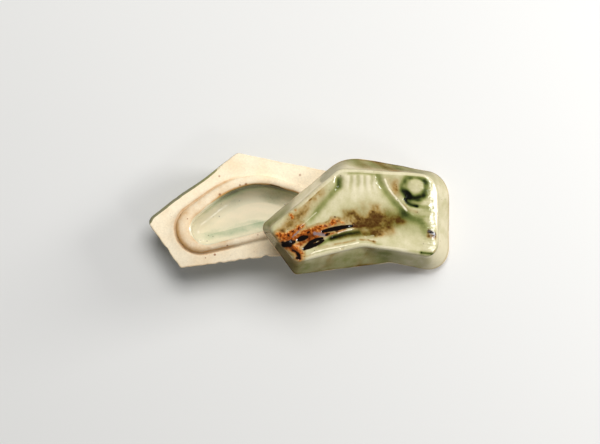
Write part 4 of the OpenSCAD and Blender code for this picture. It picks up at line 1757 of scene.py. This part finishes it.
WELL = Spine()
COLLAR = Spine(left=(-15.8, -5.8), right=(17.4, 1.6), top=(2.2, 7.4))
RIM = Outline(
    corners=((-36.5, -2.7), (-23.4, -21.0), (12.7, -16.1), (36.2, -21.1), (39.1, 14.7), (-2.4, 22.9)),
    radii=(3.2, 1.8, 14.0, 6.0, 7.0, 2.6),
)
LID_SEAM = Outline(
    corners=((-38.4, -3.3), (-25.9, -21.5), (12.7, -17.3), (35.6, -22.3), (38.8, 16.2), (-3.0, 23.6)),
    radii=(3.2, 2.2, 14.0, 9.0, 9.5, 18.0),
)
RIDGE = Outline(
    corners=((-38.6, -6.0), (-28.6, -18.7), (-2.3, -13.0), (28.6, -17.5), (31.6, 14.6), (-9.1, 16.6)),
    radii=(2.4, 2.2, 14.0, 6.0, 8.0, 6.0),
)


def dress(
    piece: bpy.types.Object, body: str, nodes: Sequence[str], finish: bpy.types.Material,
) -> None:
    """Gives a piece its finish and joins it to the frame.

    Args:
        piece: The finished piece.
        body: The body that it moves with.
        nodes: The solids that it stands for.
        finish: Its material.
    """
    piece.data.materials.clear()
    piece.data.materials.append(finish)
    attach(piece, body)
    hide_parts(*nodes)
    LOG.info("%s: %d points on body %s for %s", piece.name, len(piece.data.vertices), body, ", ".join(nodes))


def main() -> None:
    """Builds the box, dresses it and lights it."""
    logging.basicConfig(level=logging.INFO, format="%(name)s: %(message)s")
    bpy.context.scene.view_settings.view_transform = "Standard"
    # The same hand-cut unevenness on every run
    noise.seed_set(HAND_SEED)
    effects = Effects()
    body = Body(seam=RIM, spine=WELL, collar_spine=COLLAR)
    lid = Lid(rim=RIM, seam=LID_SEAM, ridge=RIDGE, spine=COLLAR, picture=Picture())
    here = Matrix.Identity(4)
    dress(
        body.clay().model("clay_body", here, body.marks),
        "body", ("body",), Stoneware("body_stoneware").material(effects),
    )
    dress(
        body.lining().model("well_lining", here, body.lining_marks),
        "body", ("well_glaze",), Stoneware("well_celadon", glaze=WELL_GLAZE).material(effects),
    )
    dress(
        lid.shape().model("carved_lid", lid.place(), lid.marks),
        "lid", ("lid", "flank_glaze", "moon_glaze", "iron_glaze"),
        Stoneware("lid_stoneware").material(effects),
    )
    Studio().build()


if __name__ == "__main__":
    main()
